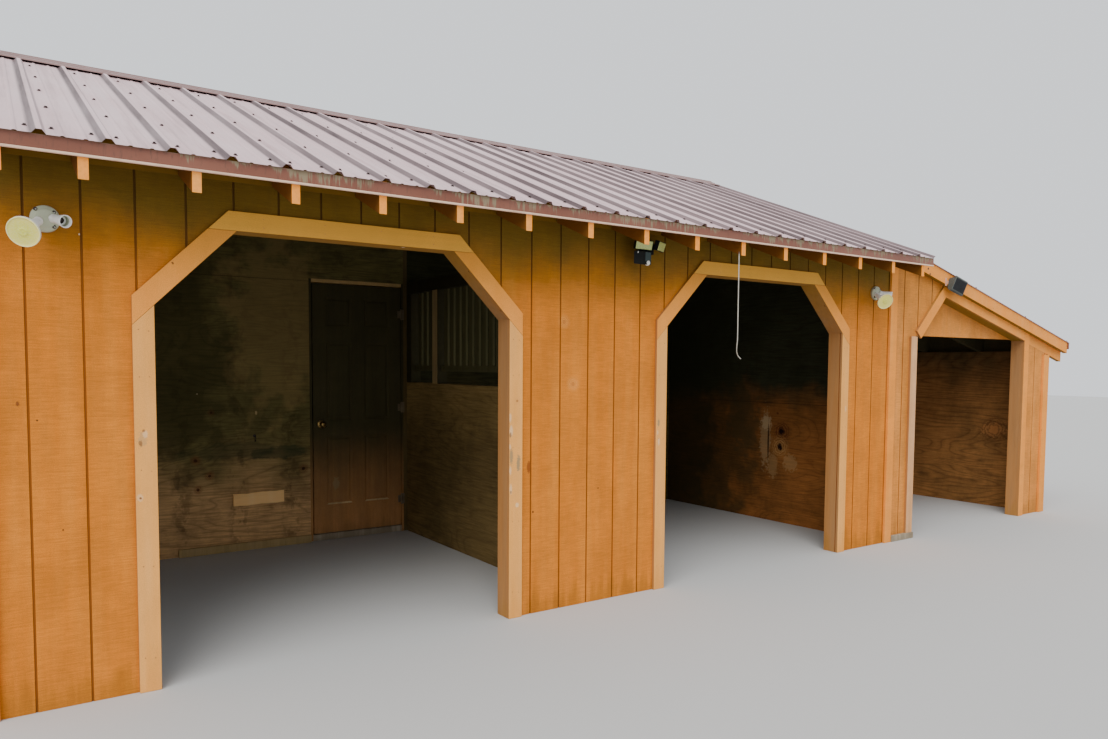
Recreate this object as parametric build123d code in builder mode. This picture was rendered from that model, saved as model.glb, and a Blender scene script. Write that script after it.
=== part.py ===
from build123d import *
import math
import os

os.makedirs("parts", exist_ok=True)

# Driving sizes, in millimetres.
# X runs along the front from the left corner, Y from the front siding to the back, Z up from the ground.

# Main building
main_depth = 4200
wall_thickness = 105
left_pier_width = 682
middle_pier_width = 1188
right_pier_width = 710
opening_width = 1810
opening_height = 2050
corner_cut = 350
header_rise = 221

# Main roof: twelve parts out, five parts up
main_slope = 5 / 12
eave_overhang = 300
rafter_depth = 140
rafter_width = 38
rafter_pitch = 406.4
rafter_offset = 107
roof_thickness = 20
roof_lip = 18
roof_side_overhang = 25
fascia_thickness = 12
fascia_height = 62
ridge_board_width = 38
ridge_board_depth = 190
ridge_cap_reach = 150
ridge_cap_thickness = 6
block_thickness = 38

# Trim boards
trim_width = 88
trim_thickness = 19
corner_board_width = 84
corner_board_top_gap = 10

# Door wall between the open bays and the rear store
bay_depth = 2435
door_width = 762
door_height = 2032
door_thickness = 35
door_to_partition = 59
sill_height = 52
door_gap = 7
jamb_thickness = 20
head_jamb_thickness = 28
panel_inset = 110
panel_groove = 28
panel_groove_depth = 6
panel_top_height = 230
panel_middle_height = 640
panel_rail = 130
bottom_rail = 232
middle_stile = 110
knob_height = 896
knob_backset = 62
knob_radius = 26
rose_radius = 32
rose_thickness = 8
knob_neck = 30

# Door hinges
hinge_count = 3
hinge_length = 90
hinge_end_inset = 180
hinge_plate_width = 30
hinge_plate_thickness = 3
hinge_barrel_radius = 7
hinge_pin_radius = 3.5
hinge_clearance = 0.3
hinge_lug_height = 14

# Partition between the two bays
partition_thickness = 100
partition_wall_height = 1290
partition_post_width = 89
partition_post_setback = 580
partition_rail_drop = 131
partition_rail_height = 98
partition_gap = 100
grille_rail_height = 45
grille_thickness = 19
grille_bar_width = 60
grille_bar_pitch = 100

# Lean-to on the right
lean_slope = 0.247
lean_eave_overhang = 300
lean_top_drop = 11
lean_rafter_depth = 184
lean_rafter_pitch = 600
lean_left_pier_width = 300
lean_right_pier_width = 490
lean_corner_rise = 448
lean_base_height = 50
lean_foot_reach = 25
lean_ledger_width = 38
lean_chamfer_board_shift = 70
lean_chamfer_board_overrun = 21
lean_chamfer_board_drop = 17
infill_thickness = 12
infill_setback = 12
rake_board_thickness = 38
rake_board_depth = 102
lean_roof_lip = 13

# Lights
flood_light_inset = 287
flood_light_drop = 243
flood_plate_radius = 54
flood_plate_thickness = 28
flood_socket_radius = 26
flood_socket_bore = 20
flood_socket_length = 88
flood_socket_offset = 24
flood_bulb_radius = 60
flood_bulb_length = 150
flood_bulb_neck = 20
flood_bulb_rim = 14
flood_bulb_lean = (-60, -125, -70)
flood_socket_lean = (42, -80, -20)
security_light_offset = 991
security_light_drop = 96
security_box_size = (90, 50, 80)
security_head_size = (134, 18, 62)
security_head_turn = 65
security_arm_reach = 55
security_arm_width = 18
security_sensor_size = (139, 70, 78)
security_lug = 8
security_dome_radius = 13
solar_light_offset = 765
solar_light_drop = 92
solar_light_size = (200, 72, 108)
solar_light_corner = 14

# Pull cord hanging from a rafter tail in front of the right opening
cord_radius = 3
cord_tail_index = 5
cord_hook_size = 12
cord_hook_inset = 15
cord_hook_rise = 14

# Worked out from the driving sizes
main_half_depth = main_depth / 2
left_opening = left_pier_width
right_opening = left_opening + opening_width + middle_pier_width
openings = (left_opening, right_opening)
main_length = right_opening + opening_width + right_pier_width
spring_height = opening_height - corner_cut
tail_height = opening_height + header_rise - eave_overhang * main_slope
roof_rise = math.hypot(1, main_slope)
rafter_plumb = rafter_depth * roof_rise
roof_plumb = roof_thickness * roof_rise
lean_left_jamb = main_length + lean_left_pier_width
lean_right_jamb = lean_left_jamb + opening_width
lean_end = lean_right_jamb + lean_right_pier_width
lean_eave = lean_end + lean_eave_overhang
lean_rise = math.hypot(1, lean_slope)
lean_rafter_plumb = lean_rafter_depth * lean_rise
partition_x = left_opening + opening_width + middle_pier_width / 2
partition_left = partition_x - partition_thickness / 2
door_wall_front = wall_thickness + bay_depth
door_wall_back = door_wall_front + wall_thickness
door_right = partition_left - door_to_partition
door_left = door_right - door_width
door_bottom = sill_height + door_gap
door_top = door_bottom + door_height
doorway_left = door_left - door_gap - jamb_thickness
doorway_right = door_right + door_gap + jamb_thickness
doorway_top = door_top + door_gap + head_jamb_thickness
model_left = -roof_side_overhang
model_right = lean_eave + fascia_thickness + roof_lip
origin_x = (model_left + model_right) / 2
origin_y = main_half_depth


def rafter_underside(y):
    """Height of the main rafters' underside at a distance from the front."""
    from_eave = min(y, main_depth - y) + eave_overhang
    return tail_height + from_eave * main_slope


def roof_underside(y):
    """Height of the main roof sheets' underside."""
    return rafter_underside(y) + rafter_plumb


def lean_roof_underside(x):
    """Height of the lean-to roof's underside. Its top meets the end wall under the main roof."""
    return roof_underside(0) - lean_top_drop - (x - main_length) * lean_slope


def lean_rafter_underside(x):
    """Height of the lean-to rafters' underside."""
    return lean_roof_underside(x) - lean_rafter_plumb


def front_plane(y):
    """Sketch plane for front views: sketch X is X, sketch Y is height, and it extrudes towards the back."""
    return Plane(origin=(-origin_x, y - origin_y, 0), x_dir=(1, 0, 0), z_dir=(0, -1, 0))


def side_plane(x):
    """Sketch plane for side views: sketch X is Y, sketch Y is height, and it extrudes to the right."""
    return Plane(origin=(x - origin_x, -origin_y, 0), x_dir=(0, 1, 0), z_dir=(1, 0, 0))


def ground_plane(z):
    """Sketch plane for plan views, as seen from above."""
    return Plane(origin=(-origin_x, -origin_y, z))


def front_outline(points, y, thickness):
    """A flat piece cut to an outline in the front view, from y towards the back."""
    with BuildSketch(front_plane(y)) as outline:
        with BuildLine():
            Polyline(*points, close=True)
        make_face()
    extrude(outline.sketch, amount=-thickness)


def side_outline(points, x, thickness):
    """A flat piece cut to an outline in the side view, from x to the right."""
    with BuildSketch(side_plane(x)) as outline:
        with BuildLine():
            Polyline(*points, close=True)
        make_face()
    extrude(outline.sketch, amount=thickness)


def block(x, y, z):
    """A box between two limits on each axis."""
    with BuildSketch(ground_plane(z[0])) as footprint:
        with BuildLine():
            Polyline((x[0], y[0]), (x[1], y[0]), (x[1], y[1]), (x[0], y[1]), close=True)
        make_face()
    extrude(footprint.sketch, amount=z[1] - z[0])


def save(part, name):
    """Label a finished piece and write it."""
    part.label = name
    export_step(part, f"parts/{name}.step")


# Front wall, its top cut to lie under the rafters
wall_top = rafter_underside(wall_thickness)
front_top_plane = Plane(
    origin=(-origin_x, -origin_y, rafter_underside(0)),
    x_dir=(1, 0, 0),
    z_dir=(0, -main_slope, 1),
)
back_top_plane = Plane(
    origin=(-origin_x, main_depth - origin_y, rafter_underside(main_depth)),
    x_dir=(1, 0, 0),
    z_dir=(0, main_slope, 1),
)


def front_pier(x_left, x_right):
    """A plain length of front wall, its top still level."""
    front_outline([(x_left, 0), (x_right, 0), (x_right, wall_top), (x_left, wall_top)], 0, wall_thickness)


def front_head(x_left):
    """The front wall over an opening with two cut corners, its top still level."""
    x_right = x_left + opening_width
    outline = [
        (x_left, spring_height),
        (x_left + corner_cut, opening_height),
        (x_right - corner_cut, opening_height),
        (x_right, spring_height),
        (x_right, wall_top),
        (x_left, wall_top),
    ]
    front_outline(outline, 0, wall_thickness)


with BuildPart() as front_wall_piers:
    front_pier(0, left_opening)
    front_pier(left_opening + opening_width, right_opening)
    front_pier(right_opening + opening_width, main_length)
    split(bisect_by=front_top_plane, keep=Keep.BOTTOM)
save(front_wall_piers.part, "front_wall_piers")

with BuildPart() as front_wall_heads:
    for x_left in openings:
        front_head(x_left)
    split(bisect_by=front_top_plane, keep=Keep.BOTTOM)
save(front_wall_heads.part, "front_wall_heads")

# Back and end walls
with BuildPart() as back_wall:
    back_face = main_depth - wall_thickness
    side_outline(
        [
            (back_face, 0),
            (main_depth, 0),
            (main_depth, rafter_underside(main_depth)),
            (back_face, rafter_underside(back_face)),
        ],
        0,
        main_length,
    )
save(back_wall.part, "back_wall")


def end_wall(x_left):
    """A gable wall between the front and back walls, up to the roof sheets."""
    near, far = wall_thickness, main_depth - wall_thickness
    outline = [
        (near, 0),
        (far, 0),
        (far, roof_underside(far)),
        (main_half_depth, roof_underside(main_half_depth)),
        (near, roof_underside(near)),
    ]
    side_outline(outline, x_left, wall_thickness)


with BuildPart() as left_end_wall:
    end_wall(0)
save(left_end_wall.part, "left_end_wall")

with BuildPart() as right_end_wall:
    end_wall(main_length - wall_thickness)
save(right_end_wall.part, "right_end_wall")

# Door wall behind the bays
inner_left = wall_thickness
inner_right = main_length - wall_thickness
door_wall_top = rafter_underside(main_half_depth)


def door_wall_piece(x_left, x_right, z_bottom):
    """A length of the door wall, its top cut under the rafters."""
    corners = [(x_left, z_bottom), (x_right, z_bottom), (x_right, door_wall_top), (x_left, door_wall_top)]
    front_outline(corners, door_wall_front, wall_thickness)
    split(bisect_by=front_top_plane, keep=Keep.BOTTOM)
    split(bisect_by=back_top_plane, keep=Keep.BOTTOM)


with BuildPart() as door_wall_left:
    door_wall_piece(inner_left, doorway_left, 0)
save(door_wall_left.part, "door_wall_left")

with BuildPart() as door_wall_right:
    door_wall_piece(doorway_right, inner_right, 0)
save(door_wall_right.part, "door_wall_right")

with BuildPart() as door_wall_head:
    door_wall_piece(doorway_left, doorway_right, doorway_top)
save(door_wall_head.part, "door_wall_head")

# Door frame
with BuildPart() as door_side_jambs:
    jamb_y = (door_wall_front, door_wall_back)
    block((doorway_left, doorway_left + jamb_thickness), jamb_y, (0, doorway_top))
    block((doorway_right - jamb_thickness, doorway_right), jamb_y, (0, doorway_top))
save(door_side_jambs.part, "door_side_jambs")

with BuildPart() as door_head_jamb:
    head_x = (doorway_left + jamb_thickness, doorway_right - jamb_thickness)
    block(head_x, jamb_y, (doorway_top - head_jamb_thickness, doorway_top))
save(door_head_jamb.part, "door_head_jamb")

with BuildPart() as door_sill:
    block(head_x, jamb_y, (0, sill_height))
save(door_sill.part, "door_sill")

# Door leaf with six raised panels on each face
panel_width = (door_width - 2 * panel_inset - middle_stile) / 2
panel_x_offset = (panel_width + middle_stile) / 2
door_centre_x = (door_left + door_right) / 2


def panel_centres():
    """Centre and height of each panel, in the front view."""
    centres = []
    top = door_top - panel_inset
    used = panel_inset + panel_top_height + panel_middle_height + 2 * panel_rail + bottom_rail
    for height in (panel_top_height, panel_middle_height, door_height - used):
        for side in (-1, 1):
            centres.append((door_centre_x + side * panel_x_offset, top - height / 2, height))
        top -= height + panel_rail
    return centres


with BuildPart() as door_leaf:
    block(
        (door_left, door_right),
        (door_wall_front, door_wall_front + door_thickness),
        (door_bottom, door_top),
    )
    door_faces = (
        (door_wall_front, -panel_groove_depth),
        (door_wall_front + door_thickness, panel_groove_depth),
    )
    for face_y, cut in door_faces:
        with BuildSketch(front_plane(face_y)):
            for centre_x, centre_z, height in panel_centres():
                with Locations((centre_x, centre_z)):
                    Rectangle(panel_width, height)
                    Rectangle(panel_width - 2 * panel_groove, height - 2 * panel_groove, mode=Mode.SUBTRACT)
        extrude(amount=cut, mode=Mode.SUBTRACT)
save(door_leaf.part, "door_leaf")

with BuildPart() as door_knobs:
    knob_x = door_left + knob_backset
    knob_z = door_bottom + knob_height
    for face_y, outward in ((door_wall_front, 1), (door_wall_front + door_thickness, -1)):
        with BuildSketch(front_plane(face_y)):
            with Locations((knob_x, knob_z)):
                Circle(rose_radius)
        extrude(amount=outward * rose_thickness)
        with BuildSketch(front_plane(face_y - outward * rose_thickness)):
            with Locations((knob_x, knob_z)):
                Circle(knob_radius / 2)
        extrude(amount=outward * knob_neck)
        knob_centre_y = face_y - outward * (rose_thickness + knob_neck + knob_radius / 3)
        with Locations((knob_x - origin_x, knob_centre_y - origin_y, knob_z)):
            Sphere(knob_radius)
save(door_knobs.part, "door_knobs")

# Butt hinges on the right edge of the door, on the bay side
hinge_x = door_right + door_gap / 2
hinge_y = door_wall_front - hinge_barrel_radius
hinge_pitch = (door_height - 2 * hinge_end_inset - hinge_length) / (hinge_count - 1)
hinge_bottoms = [door_bottom + hinge_end_inset + i * hinge_pitch for i in range(hinge_count)]


def barrel(z_bottom, height, radius, mode=Mode.ADD):
    """A length of hinge barrel or pin on the hinge axis."""
    with BuildSketch(ground_plane(z_bottom)) as ring:
        with Locations((hinge_x, hinge_y)):
            Circle(radius)
    extrude(ring.sketch, amount=height, mode=mode)


with BuildPart() as hinge_pins:
    plate_y = (door_wall_front - hinge_plate_thickness, door_wall_front)
    for z_bottom in hinge_bottoms:
        for lug_bottom in (z_bottom, z_bottom + hinge_length - hinge_lug_height):
            barrel(lug_bottom, hinge_lug_height, hinge_barrel_radius)
        barrel(z_bottom, hinge_length, hinge_pin_radius)
        plate_x = (hinge_x + hinge_barrel_radius + hinge_clearance, hinge_x + hinge_plate_width)
        block(plate_x, plate_y, (z_bottom, z_bottom + hinge_length))
        for lug_bottom in (z_bottom, z_bottom + hinge_length - hinge_lug_height):
            block((hinge_x, plate_x[0]), plate_y, (lug_bottom, lug_bottom + hinge_lug_height))
save(hinge_pins.part, "hinge_pins")

with BuildPart() as hinge_leaves:
    for z_bottom in hinge_bottoms:
        leaf_bottom = z_bottom + hinge_lug_height + hinge_clearance
        leaf_height = hinge_length - 2 * (hinge_lug_height + hinge_clearance)
        barrel(leaf_bottom, leaf_height, hinge_barrel_radius)
        block((hinge_x - hinge_plate_width, hinge_x), plate_y, (leaf_bottom, leaf_bottom + leaf_height))
        barrel(leaf_bottom, leaf_height, hinge_pin_radius + hinge_clearance, Mode.SUBTRACT)
save(hinge_leaves.part, "hinge_leaves")

# Partition between the bays
partition_rail_top = rafter_underside(0) - partition_rail_drop
partition_rail_bottom = partition_rail_top - partition_rail_height
grille_bottom = partition_wall_height + partition_gap

with BuildPart() as partition_wall:
    block(
        (partition_left, partition_left + partition_thickness),
        (wall_thickness, door_wall_front),
        (0, partition_wall_height),
    )
save(partition_wall.part, "partition_wall")

post_starts = [
    wall_thickness,
    door_wall_front - partition_post_setback,
    door_wall_front - partition_post_width,
]

with BuildPart() as partition_posts:
    for post_start in post_starts:
        block(
            (partition_left, partition_left + partition_post_width),
            (post_start, post_start + partition_post_width),
            (partition_wall_height, partition_rail_bottom),
        )
save(partition_posts.part, "partition_posts")

with BuildPart() as partition_top_rail:
    block(
        (partition_left, partition_left + partition_thickness),
        (wall_thickness, door_wall_front),
        (partition_rail_bottom, partition_rail_top),
    )
save(partition_top_rail.part, "partition_top_rail")

with BuildPart() as partition_grilles:
    grille_x = partition_left + (partition_post_width - grille_thickness) / 2
    for start, end in zip(post_starts[:-1], post_starts[1:]):
        span = (start + partition_post_width, end)
        bars = int((span[1] - span[0] - grille_bar_width) // grille_bar_pitch)
        margin = (span[1] - span[0] - (bars - 1) * grille_bar_pitch) / 2
        grille_depth = (grille_x, grille_x + grille_thickness)
        block(grille_depth, span, (grille_bottom, grille_bottom + grille_rail_height))
        for i in range(bars):
            bar_y = span[0] + margin + i * grille_bar_pitch
            block(
                grille_depth,
                (bar_y - grille_bar_width / 2, bar_y + grille_bar_width / 2),
                (grille_bottom, partition_rail_bottom),
            )
save(partition_grilles.part, "partition_grilles")

# Main rafters, ridge board and the blocks that close the eaves between rafters
rafter_run = main_length - rafter_offset - wall_thickness - 2.5 * rafter_width
rafter_count = int(rafter_run // rafter_pitch) + 1
last_rafter = main_length - wall_thickness - rafter_width / 2
rafter_places = [main_length - rafter_offset - i * rafter_pitch for i in range(rafter_count)]
rafter_centres = [min(place, last_rafter) for place in rafter_places]
rafter_centres.append(wall_thickness + rafter_width / 2)
ridge_face = main_half_depth - ridge_board_width / 2
rafter_outline = [
    (-eave_overhang, rafter_underside(-eave_overhang)),
    (ridge_face, rafter_underside(ridge_face)),
    (ridge_face, roof_underside(ridge_face)),
    (-eave_overhang, roof_underside(-eave_overhang)),
]


def mirrored(points):
    """The same outline on the back slope."""
    return [(main_depth - y, z) for y, z in points]


with BuildPart() as main_rafters:
    for centre in rafter_centres:
        side_outline(rafter_outline, centre - rafter_width / 2, rafter_width)
        side_outline(mirrored(rafter_outline), centre - rafter_width / 2, rafter_width)
save(main_rafters.part, "main_rafters")

with BuildPart() as ridge_board:
    ridge_top = roof_underside(ridge_face)
    block(
        (inner_left, inner_right),
        (ridge_face, ridge_face + ridge_board_width),
        (ridge_top - ridge_board_depth, ridge_top),
    )
save(ridge_board.part, "ridge_board")

block_outline = [
    (0, rafter_underside(0)),
    (block_thickness, rafter_underside(block_thickness)),
    (block_thickness, roof_underside(block_thickness)),
    (0, roof_underside(0)),
]
block_edges = [0] + sorted(c + s * rafter_width / 2 for c in rafter_centres for s in (-1, 1)) + [main_length]

with BuildPart() as eave_blocks:
    for block_start, block_end in zip(block_edges[0::2], block_edges[1::2]):
        side_outline(block_outline, block_start, block_end - block_start)
        side_outline(mirrored(block_outline), block_start, block_end - block_start)
save(eave_blocks.part, "eave_blocks")

# Roof sheets, ridge cap and eave trims
roof_edge = -eave_overhang - fascia_thickness - roof_lip
roof_outline = [
    (roof_edge, roof_underside(roof_edge)),
    (main_half_depth, roof_underside(main_half_depth)),
    (main_half_depth, roof_underside(main_half_depth) + roof_plumb),
    (roof_edge, roof_underside(roof_edge) + roof_plumb),
]
roof_length = main_length + roof_side_overhang

with BuildPart() as main_roof_front:
    side_outline(roof_outline, model_left, roof_length)
save(main_roof_front.part, "main_roof_front")

with BuildPart() as main_roof_back:
    side_outline(mirrored(roof_outline), model_left, roof_length)
save(main_roof_back.part, "main_roof_back")

with BuildPart() as ridge_cap:
    cap_edge = main_half_depth - ridge_cap_reach
    cap_lift = ridge_cap_thickness * roof_rise
    cap_side = [
        (cap_edge, roof_underside(cap_edge) + roof_plumb),
        (main_half_depth, roof_underside(main_half_depth) + roof_plumb),
        (main_half_depth, roof_underside(main_half_depth) + roof_plumb + cap_lift),
        (cap_edge, roof_underside(cap_edge) + roof_plumb + cap_lift),
    ]
    side_outline(cap_side, model_left, roof_length)
    side_outline(mirrored(cap_side), model_left, roof_length)
save(ridge_cap.part, "ridge_cap")

fascia_front = -eave_overhang - fascia_thickness
fascia_outline = [
    (fascia_front, roof_underside(fascia_front) - fascia_height),
    (-eave_overhang, roof_underside(fascia_front) - fascia_height),
    (-eave_overhang, roof_underside(-eave_overhang)),
    (fascia_front, roof_underside(fascia_front)),
]

with BuildPart() as main_eave_trims:
    side_outline(fascia_outline, model_left, roof_length)
    side_outline(mirrored(fascia_outline), model_left, roof_length)
save(main_eave_trims.part, "main_eave_trims")

# Lean-to walls. The left pier stands on a foot block and reaches up to the roof sheets.
lean_spring = lean_rafter_underside(lean_left_jamb) - lean_corner_rise
lean_head_left = lean_left_jamb + lean_corner_rise / (1 + lean_slope)

with BuildPart() as lean_front_piers:
    front_outline(
        [
            (main_length, lean_base_height),
            (lean_left_jamb, lean_base_height),
            (lean_left_jamb, lean_spring),
            (lean_head_left, lean_rafter_underside(lean_head_left)),
            (lean_head_left, lean_roof_underside(lean_head_left)),
            (main_length, lean_roof_underside(main_length)),
        ],
        0,
        wall_thickness,
    )
    front_outline(
        [
            (lean_right_jamb, 0),
            (lean_end, 0),
            (lean_end, lean_rafter_underside(lean_end)),
            (lean_right_jamb, lean_rafter_underside(lean_right_jamb)),
        ],
        0,
        wall_thickness,
    )
save(lean_front_piers.part, "lean_front_piers")

with BuildPart() as lean_foot_block:
    foot_y = (-lean_foot_reach, wall_thickness)
    block((main_length, lean_left_jamb + lean_foot_reach / 2), foot_y, (0, lean_base_height))
save(lean_foot_block.part, "lean_foot_block")

with BuildPart() as lean_front_rafter:
    tail_outline = [
        (lean_head_left, lean_rafter_underside(lean_head_left)),
        (lean_eave, lean_rafter_underside(lean_eave)),
        (lean_eave, lean_roof_underside(lean_eave)),
        (lean_head_left, lean_roof_underside(lean_head_left)),
    ]
    head_outline = [
        (lean_head_left, lean_rafter_underside(lean_head_left)),
        (lean_end, lean_rafter_underside(lean_end)),
        (lean_end, lean_roof_underside(lean_end)),
        (lean_head_left, lean_roof_underside(lean_head_left)),
    ]
    front_outline(tail_outline, 0, rafter_width)
    front_outline(head_outline, rafter_width, wall_thickness - rafter_width)
save(lean_front_rafter.part, "lean_front_rafter")

infill_start = lean_spring + infill_setback

with BuildPart() as lean_infill_panel:
    infill_y = wall_thickness - infill_thickness
    infill_tip = main_length + (lean_rafter_underside(main_length) - infill_start) / lean_slope
    infill_end = min(infill_tip, lean_right_jamb)
    infill_outline = [
        (lean_left_jamb + infill_setback, infill_start),
        (infill_end, infill_start),
        (lean_head_left, lean_rafter_underside(lean_head_left)),
    ]
    if infill_tip > lean_right_jamb:
        infill_outline.insert(2, (lean_right_jamb, lean_rafter_underside(lean_right_jamb)))
    front_outline(infill_outline, infill_y, infill_thickness)
save(lean_infill_panel.part, "lean_infill_panel")

lean_side_face = lean_end - wall_thickness

with BuildPart() as lean_side_wall:
    lean_side_outline = [
        (lean_side_face, 0),
        (lean_end, 0),
        (lean_end, lean_rafter_underside(lean_end)),
        (lean_side_face, lean_rafter_underside(lean_side_face)),
    ]
    front_outline(lean_side_outline, wall_thickness, main_depth - 2 * wall_thickness)
save(lean_side_wall.part, "lean_side_wall")

with BuildPart() as lean_back_wall:
    lean_back_outline = [
        (main_length, 0),
        (lean_end, 0),
        (lean_end, lean_rafter_underside(lean_end)),
        (main_length, lean_rafter_underside(main_length)),
    ]
    front_outline(lean_back_outline, main_depth - wall_thickness, wall_thickness)
save(lean_back_wall.part, "lean_back_wall")

# Lean-to roof
ledger_face = main_length + lean_ledger_width

with BuildPart() as lean_ledger:
    ledger_top = lean_roof_underside(ledger_face)
    block(
        (main_length, ledger_face),
        (wall_thickness, main_depth - wall_thickness),
        (ledger_top - lean_rafter_plumb, ledger_top),
    )
save(lean_ledger.part, "lean_ledger")


def lean_rafter(x_left, y):
    """One lean-to rafter from x_left to the low eave."""
    outline = [
        (x_left, lean_rafter_underside(x_left)),
        (lean_eave, lean_rafter_underside(lean_eave)),
        (lean_eave, lean_roof_underside(lean_eave)),
        (x_left, lean_roof_underside(x_left)),
    ]
    front_outline(outline, y, rafter_width)


with BuildPart() as lean_rafters:
    lean_rafter_count = int((main_depth - 2 * wall_thickness - rafter_width) // lean_rafter_pitch)
    for i in range(1, lean_rafter_count + 1):
        lean_rafter(ledger_face, i * lean_rafter_pitch)
    lean_rafter(main_length, main_depth - rafter_width)
save(lean_rafters.part, "lean_rafters")

lean_block_face = lean_end - block_thickness
lean_block_outline = [
    (lean_block_face, lean_rafter_underside(lean_block_face)),
    (lean_end, lean_rafter_underside(lean_end)),
    (lean_end, lean_roof_underside(lean_end)),
    (lean_block_face, lean_roof_underside(lean_block_face)),
]
lean_block_edges = [wall_thickness]
for i in range(1, lean_rafter_count + 1):
    lean_block_edges += [i * lean_rafter_pitch, i * lean_rafter_pitch + rafter_width]
lean_block_edges.append(main_depth - rafter_width)

with BuildPart() as lean_eave_blocks:
    for block_start, block_end in zip(lean_block_edges[0::2], lean_block_edges[1::2]):
        front_outline(lean_block_outline, block_start, block_end - block_start)
save(lean_eave_blocks.part, "lean_eave_blocks")

lean_roof_front = -trim_thickness - rake_board_thickness - lean_roof_lip
lean_roof_edge = lean_eave + fascia_thickness + roof_lip
lean_roof_plumb = roof_thickness * lean_rise

with BuildPart() as lean_roof:
    lean_roof_outline = [
        (main_length, lean_roof_underside(main_length)),
        (lean_roof_edge, lean_roof_underside(lean_roof_edge)),
        (lean_roof_edge, lean_roof_underside(lean_roof_edge) + lean_roof_plumb),
        (main_length, lean_roof_underside(main_length) + lean_roof_plumb),
    ]
    front_outline(lean_roof_outline, lean_roof_front, main_depth - 2 * lean_roof_front)
save(lean_roof.part, "lean_roof")

with BuildPart() as lean_rake_boards:
    rake_plumb = rake_board_depth * lean_rise
    rake_outline = [
        (main_length, lean_roof_underside(main_length) - rake_plumb),
        (lean_eave, lean_roof_underside(lean_eave) - rake_plumb),
        (lean_eave, lean_roof_underside(lean_eave)),
        (main_length, lean_roof_underside(main_length)),
    ]
    front_outline(rake_outline, -trim_thickness - rake_board_thickness, rake_board_thickness)
    front_outline(rake_outline, main_depth + trim_thickness, rake_board_thickness)
save(lean_rake_boards.part, "lean_rake_boards")

with BuildPart() as lean_eave_trim:
    eave_outline = [
        (lean_eave, lean_roof_underside(lean_eave + fascia_thickness) - fascia_height),
        (lean_eave + fascia_thickness, lean_roof_underside(lean_eave + fascia_thickness) - fascia_height),
        (lean_eave + fascia_thickness, lean_roof_underside(lean_eave + fascia_thickness)),
        (lean_eave, lean_roof_underside(lean_eave)),
    ]
    front_outline(eave_outline, lean_roof_front, main_depth - 2 * lean_roof_front)
save(lean_eave_trim.part, "lean_eave_trim")

# Trim round the openings
corner_step = trim_width * math.tan(math.pi / 8)


def mirror_x(points, centre):
    """The outline mirrored about an upright line."""
    return [(2 * centre - x, z) for x, z in points]


def jamb_trim(x_left):
    """The left jamb board of a main opening, its top cut along the corner's slope."""
    return [
        (x_left - trim_width, 0),
        (x_left, 0),
        (x_left, spring_height),
        (x_left - trim_width, spring_height - trim_width),
    ]


def chamfer_trim(x_left):
    """The left corner board of a main opening."""
    return [
        (x_left, spring_height),
        (x_left + corner_cut, opening_height),
        (x_left + corner_cut - corner_step - trim_width, opening_height),
        (x_left - trim_width, spring_height + corner_step),
        (x_left - trim_width, spring_height - trim_width),
    ]


def header_trim(x_left):
    """The head board of a main opening."""
    half = [
        (x_left + corner_cut - corner_step - trim_width, opening_height),
        (x_left + corner_cut - corner_step, opening_height + trim_width),
    ]
    other = mirror_x(half, x_left + opening_width / 2)
    return [half[0], half[1], other[1], other[0]]


board_line = lean_left_jamb - lean_spring + lean_chamfer_board_shift
board_end = lean_head_left + lean_chamfer_board_overrun
board_start = lean_spring - lean_chamfer_board_drop
board_slant = trim_width * math.sqrt(2)
header_plumb = trim_width * lean_rise

with BuildPart() as jamb_trims:
    for x_left in openings:
        front_outline(jamb_trim(x_left), -trim_thickness, trim_thickness)
        right_board = mirror_x(jamb_trim(x_left), x_left + opening_width / 2)
        front_outline(right_board, -trim_thickness, trim_thickness)
    front_outline(
        [
            (lean_left_jamb - trim_width, lean_base_height),
            (lean_left_jamb, lean_base_height),
            (lean_left_jamb, lean_spring),
            (lean_left_jamb - trim_width, lean_spring),
        ],
        -trim_thickness,
        trim_thickness,
    )
    lean_jamb_edge = lean_right_jamb + trim_width
    front_outline(
        [
            (lean_right_jamb, 0),
            (lean_jamb_edge, 0),
            (lean_jamb_edge, lean_rafter_underside(lean_jamb_edge) + header_plumb),
            (lean_right_jamb, lean_rafter_underside(lean_right_jamb) + header_plumb),
        ],
        -trim_thickness,
        trim_thickness,
    )
save(jamb_trims.part, "jamb_trims")

with BuildPart() as chamfer_trims:
    for x_left in openings:
        front_outline(chamfer_trim(x_left), -trim_thickness, trim_thickness)
        right_board = mirror_x(chamfer_trim(x_left), x_left + opening_width / 2)
        front_outline(right_board, -trim_thickness, trim_thickness)
    tip = (board_start + board_line, board_start)
    front_outline(
        [
            tip,
            (board_end, board_end - board_line),
            (board_end, board_end - board_line + board_slant),
            (tip[0] - board_slant / 2, tip[1] + board_slant / 2),
        ],
        -trim_thickness,
        trim_thickness,
    )
save(chamfer_trims.part, "chamfer_trims")

with BuildPart() as header_trims:
    for x_left in openings:
        front_outline(header_trim(x_left), -trim_thickness, trim_thickness)
    meet = (lean_rafter_underside(main_length) + main_length * lean_slope + board_line) / (1 + lean_slope)
    front_outline(
        [
            (board_end, board_end - board_line),
            (meet, lean_rafter_underside(meet)),
            (lean_right_jamb, lean_rafter_underside(lean_right_jamb)),
            (lean_right_jamb, lean_rafter_underside(lean_right_jamb) + header_plumb),
            (board_end, lean_rafter_underside(board_end) + header_plumb),
        ],
        -trim_thickness,
        trim_thickness,
    )
save(header_trims.part, "header_trims")


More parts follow.
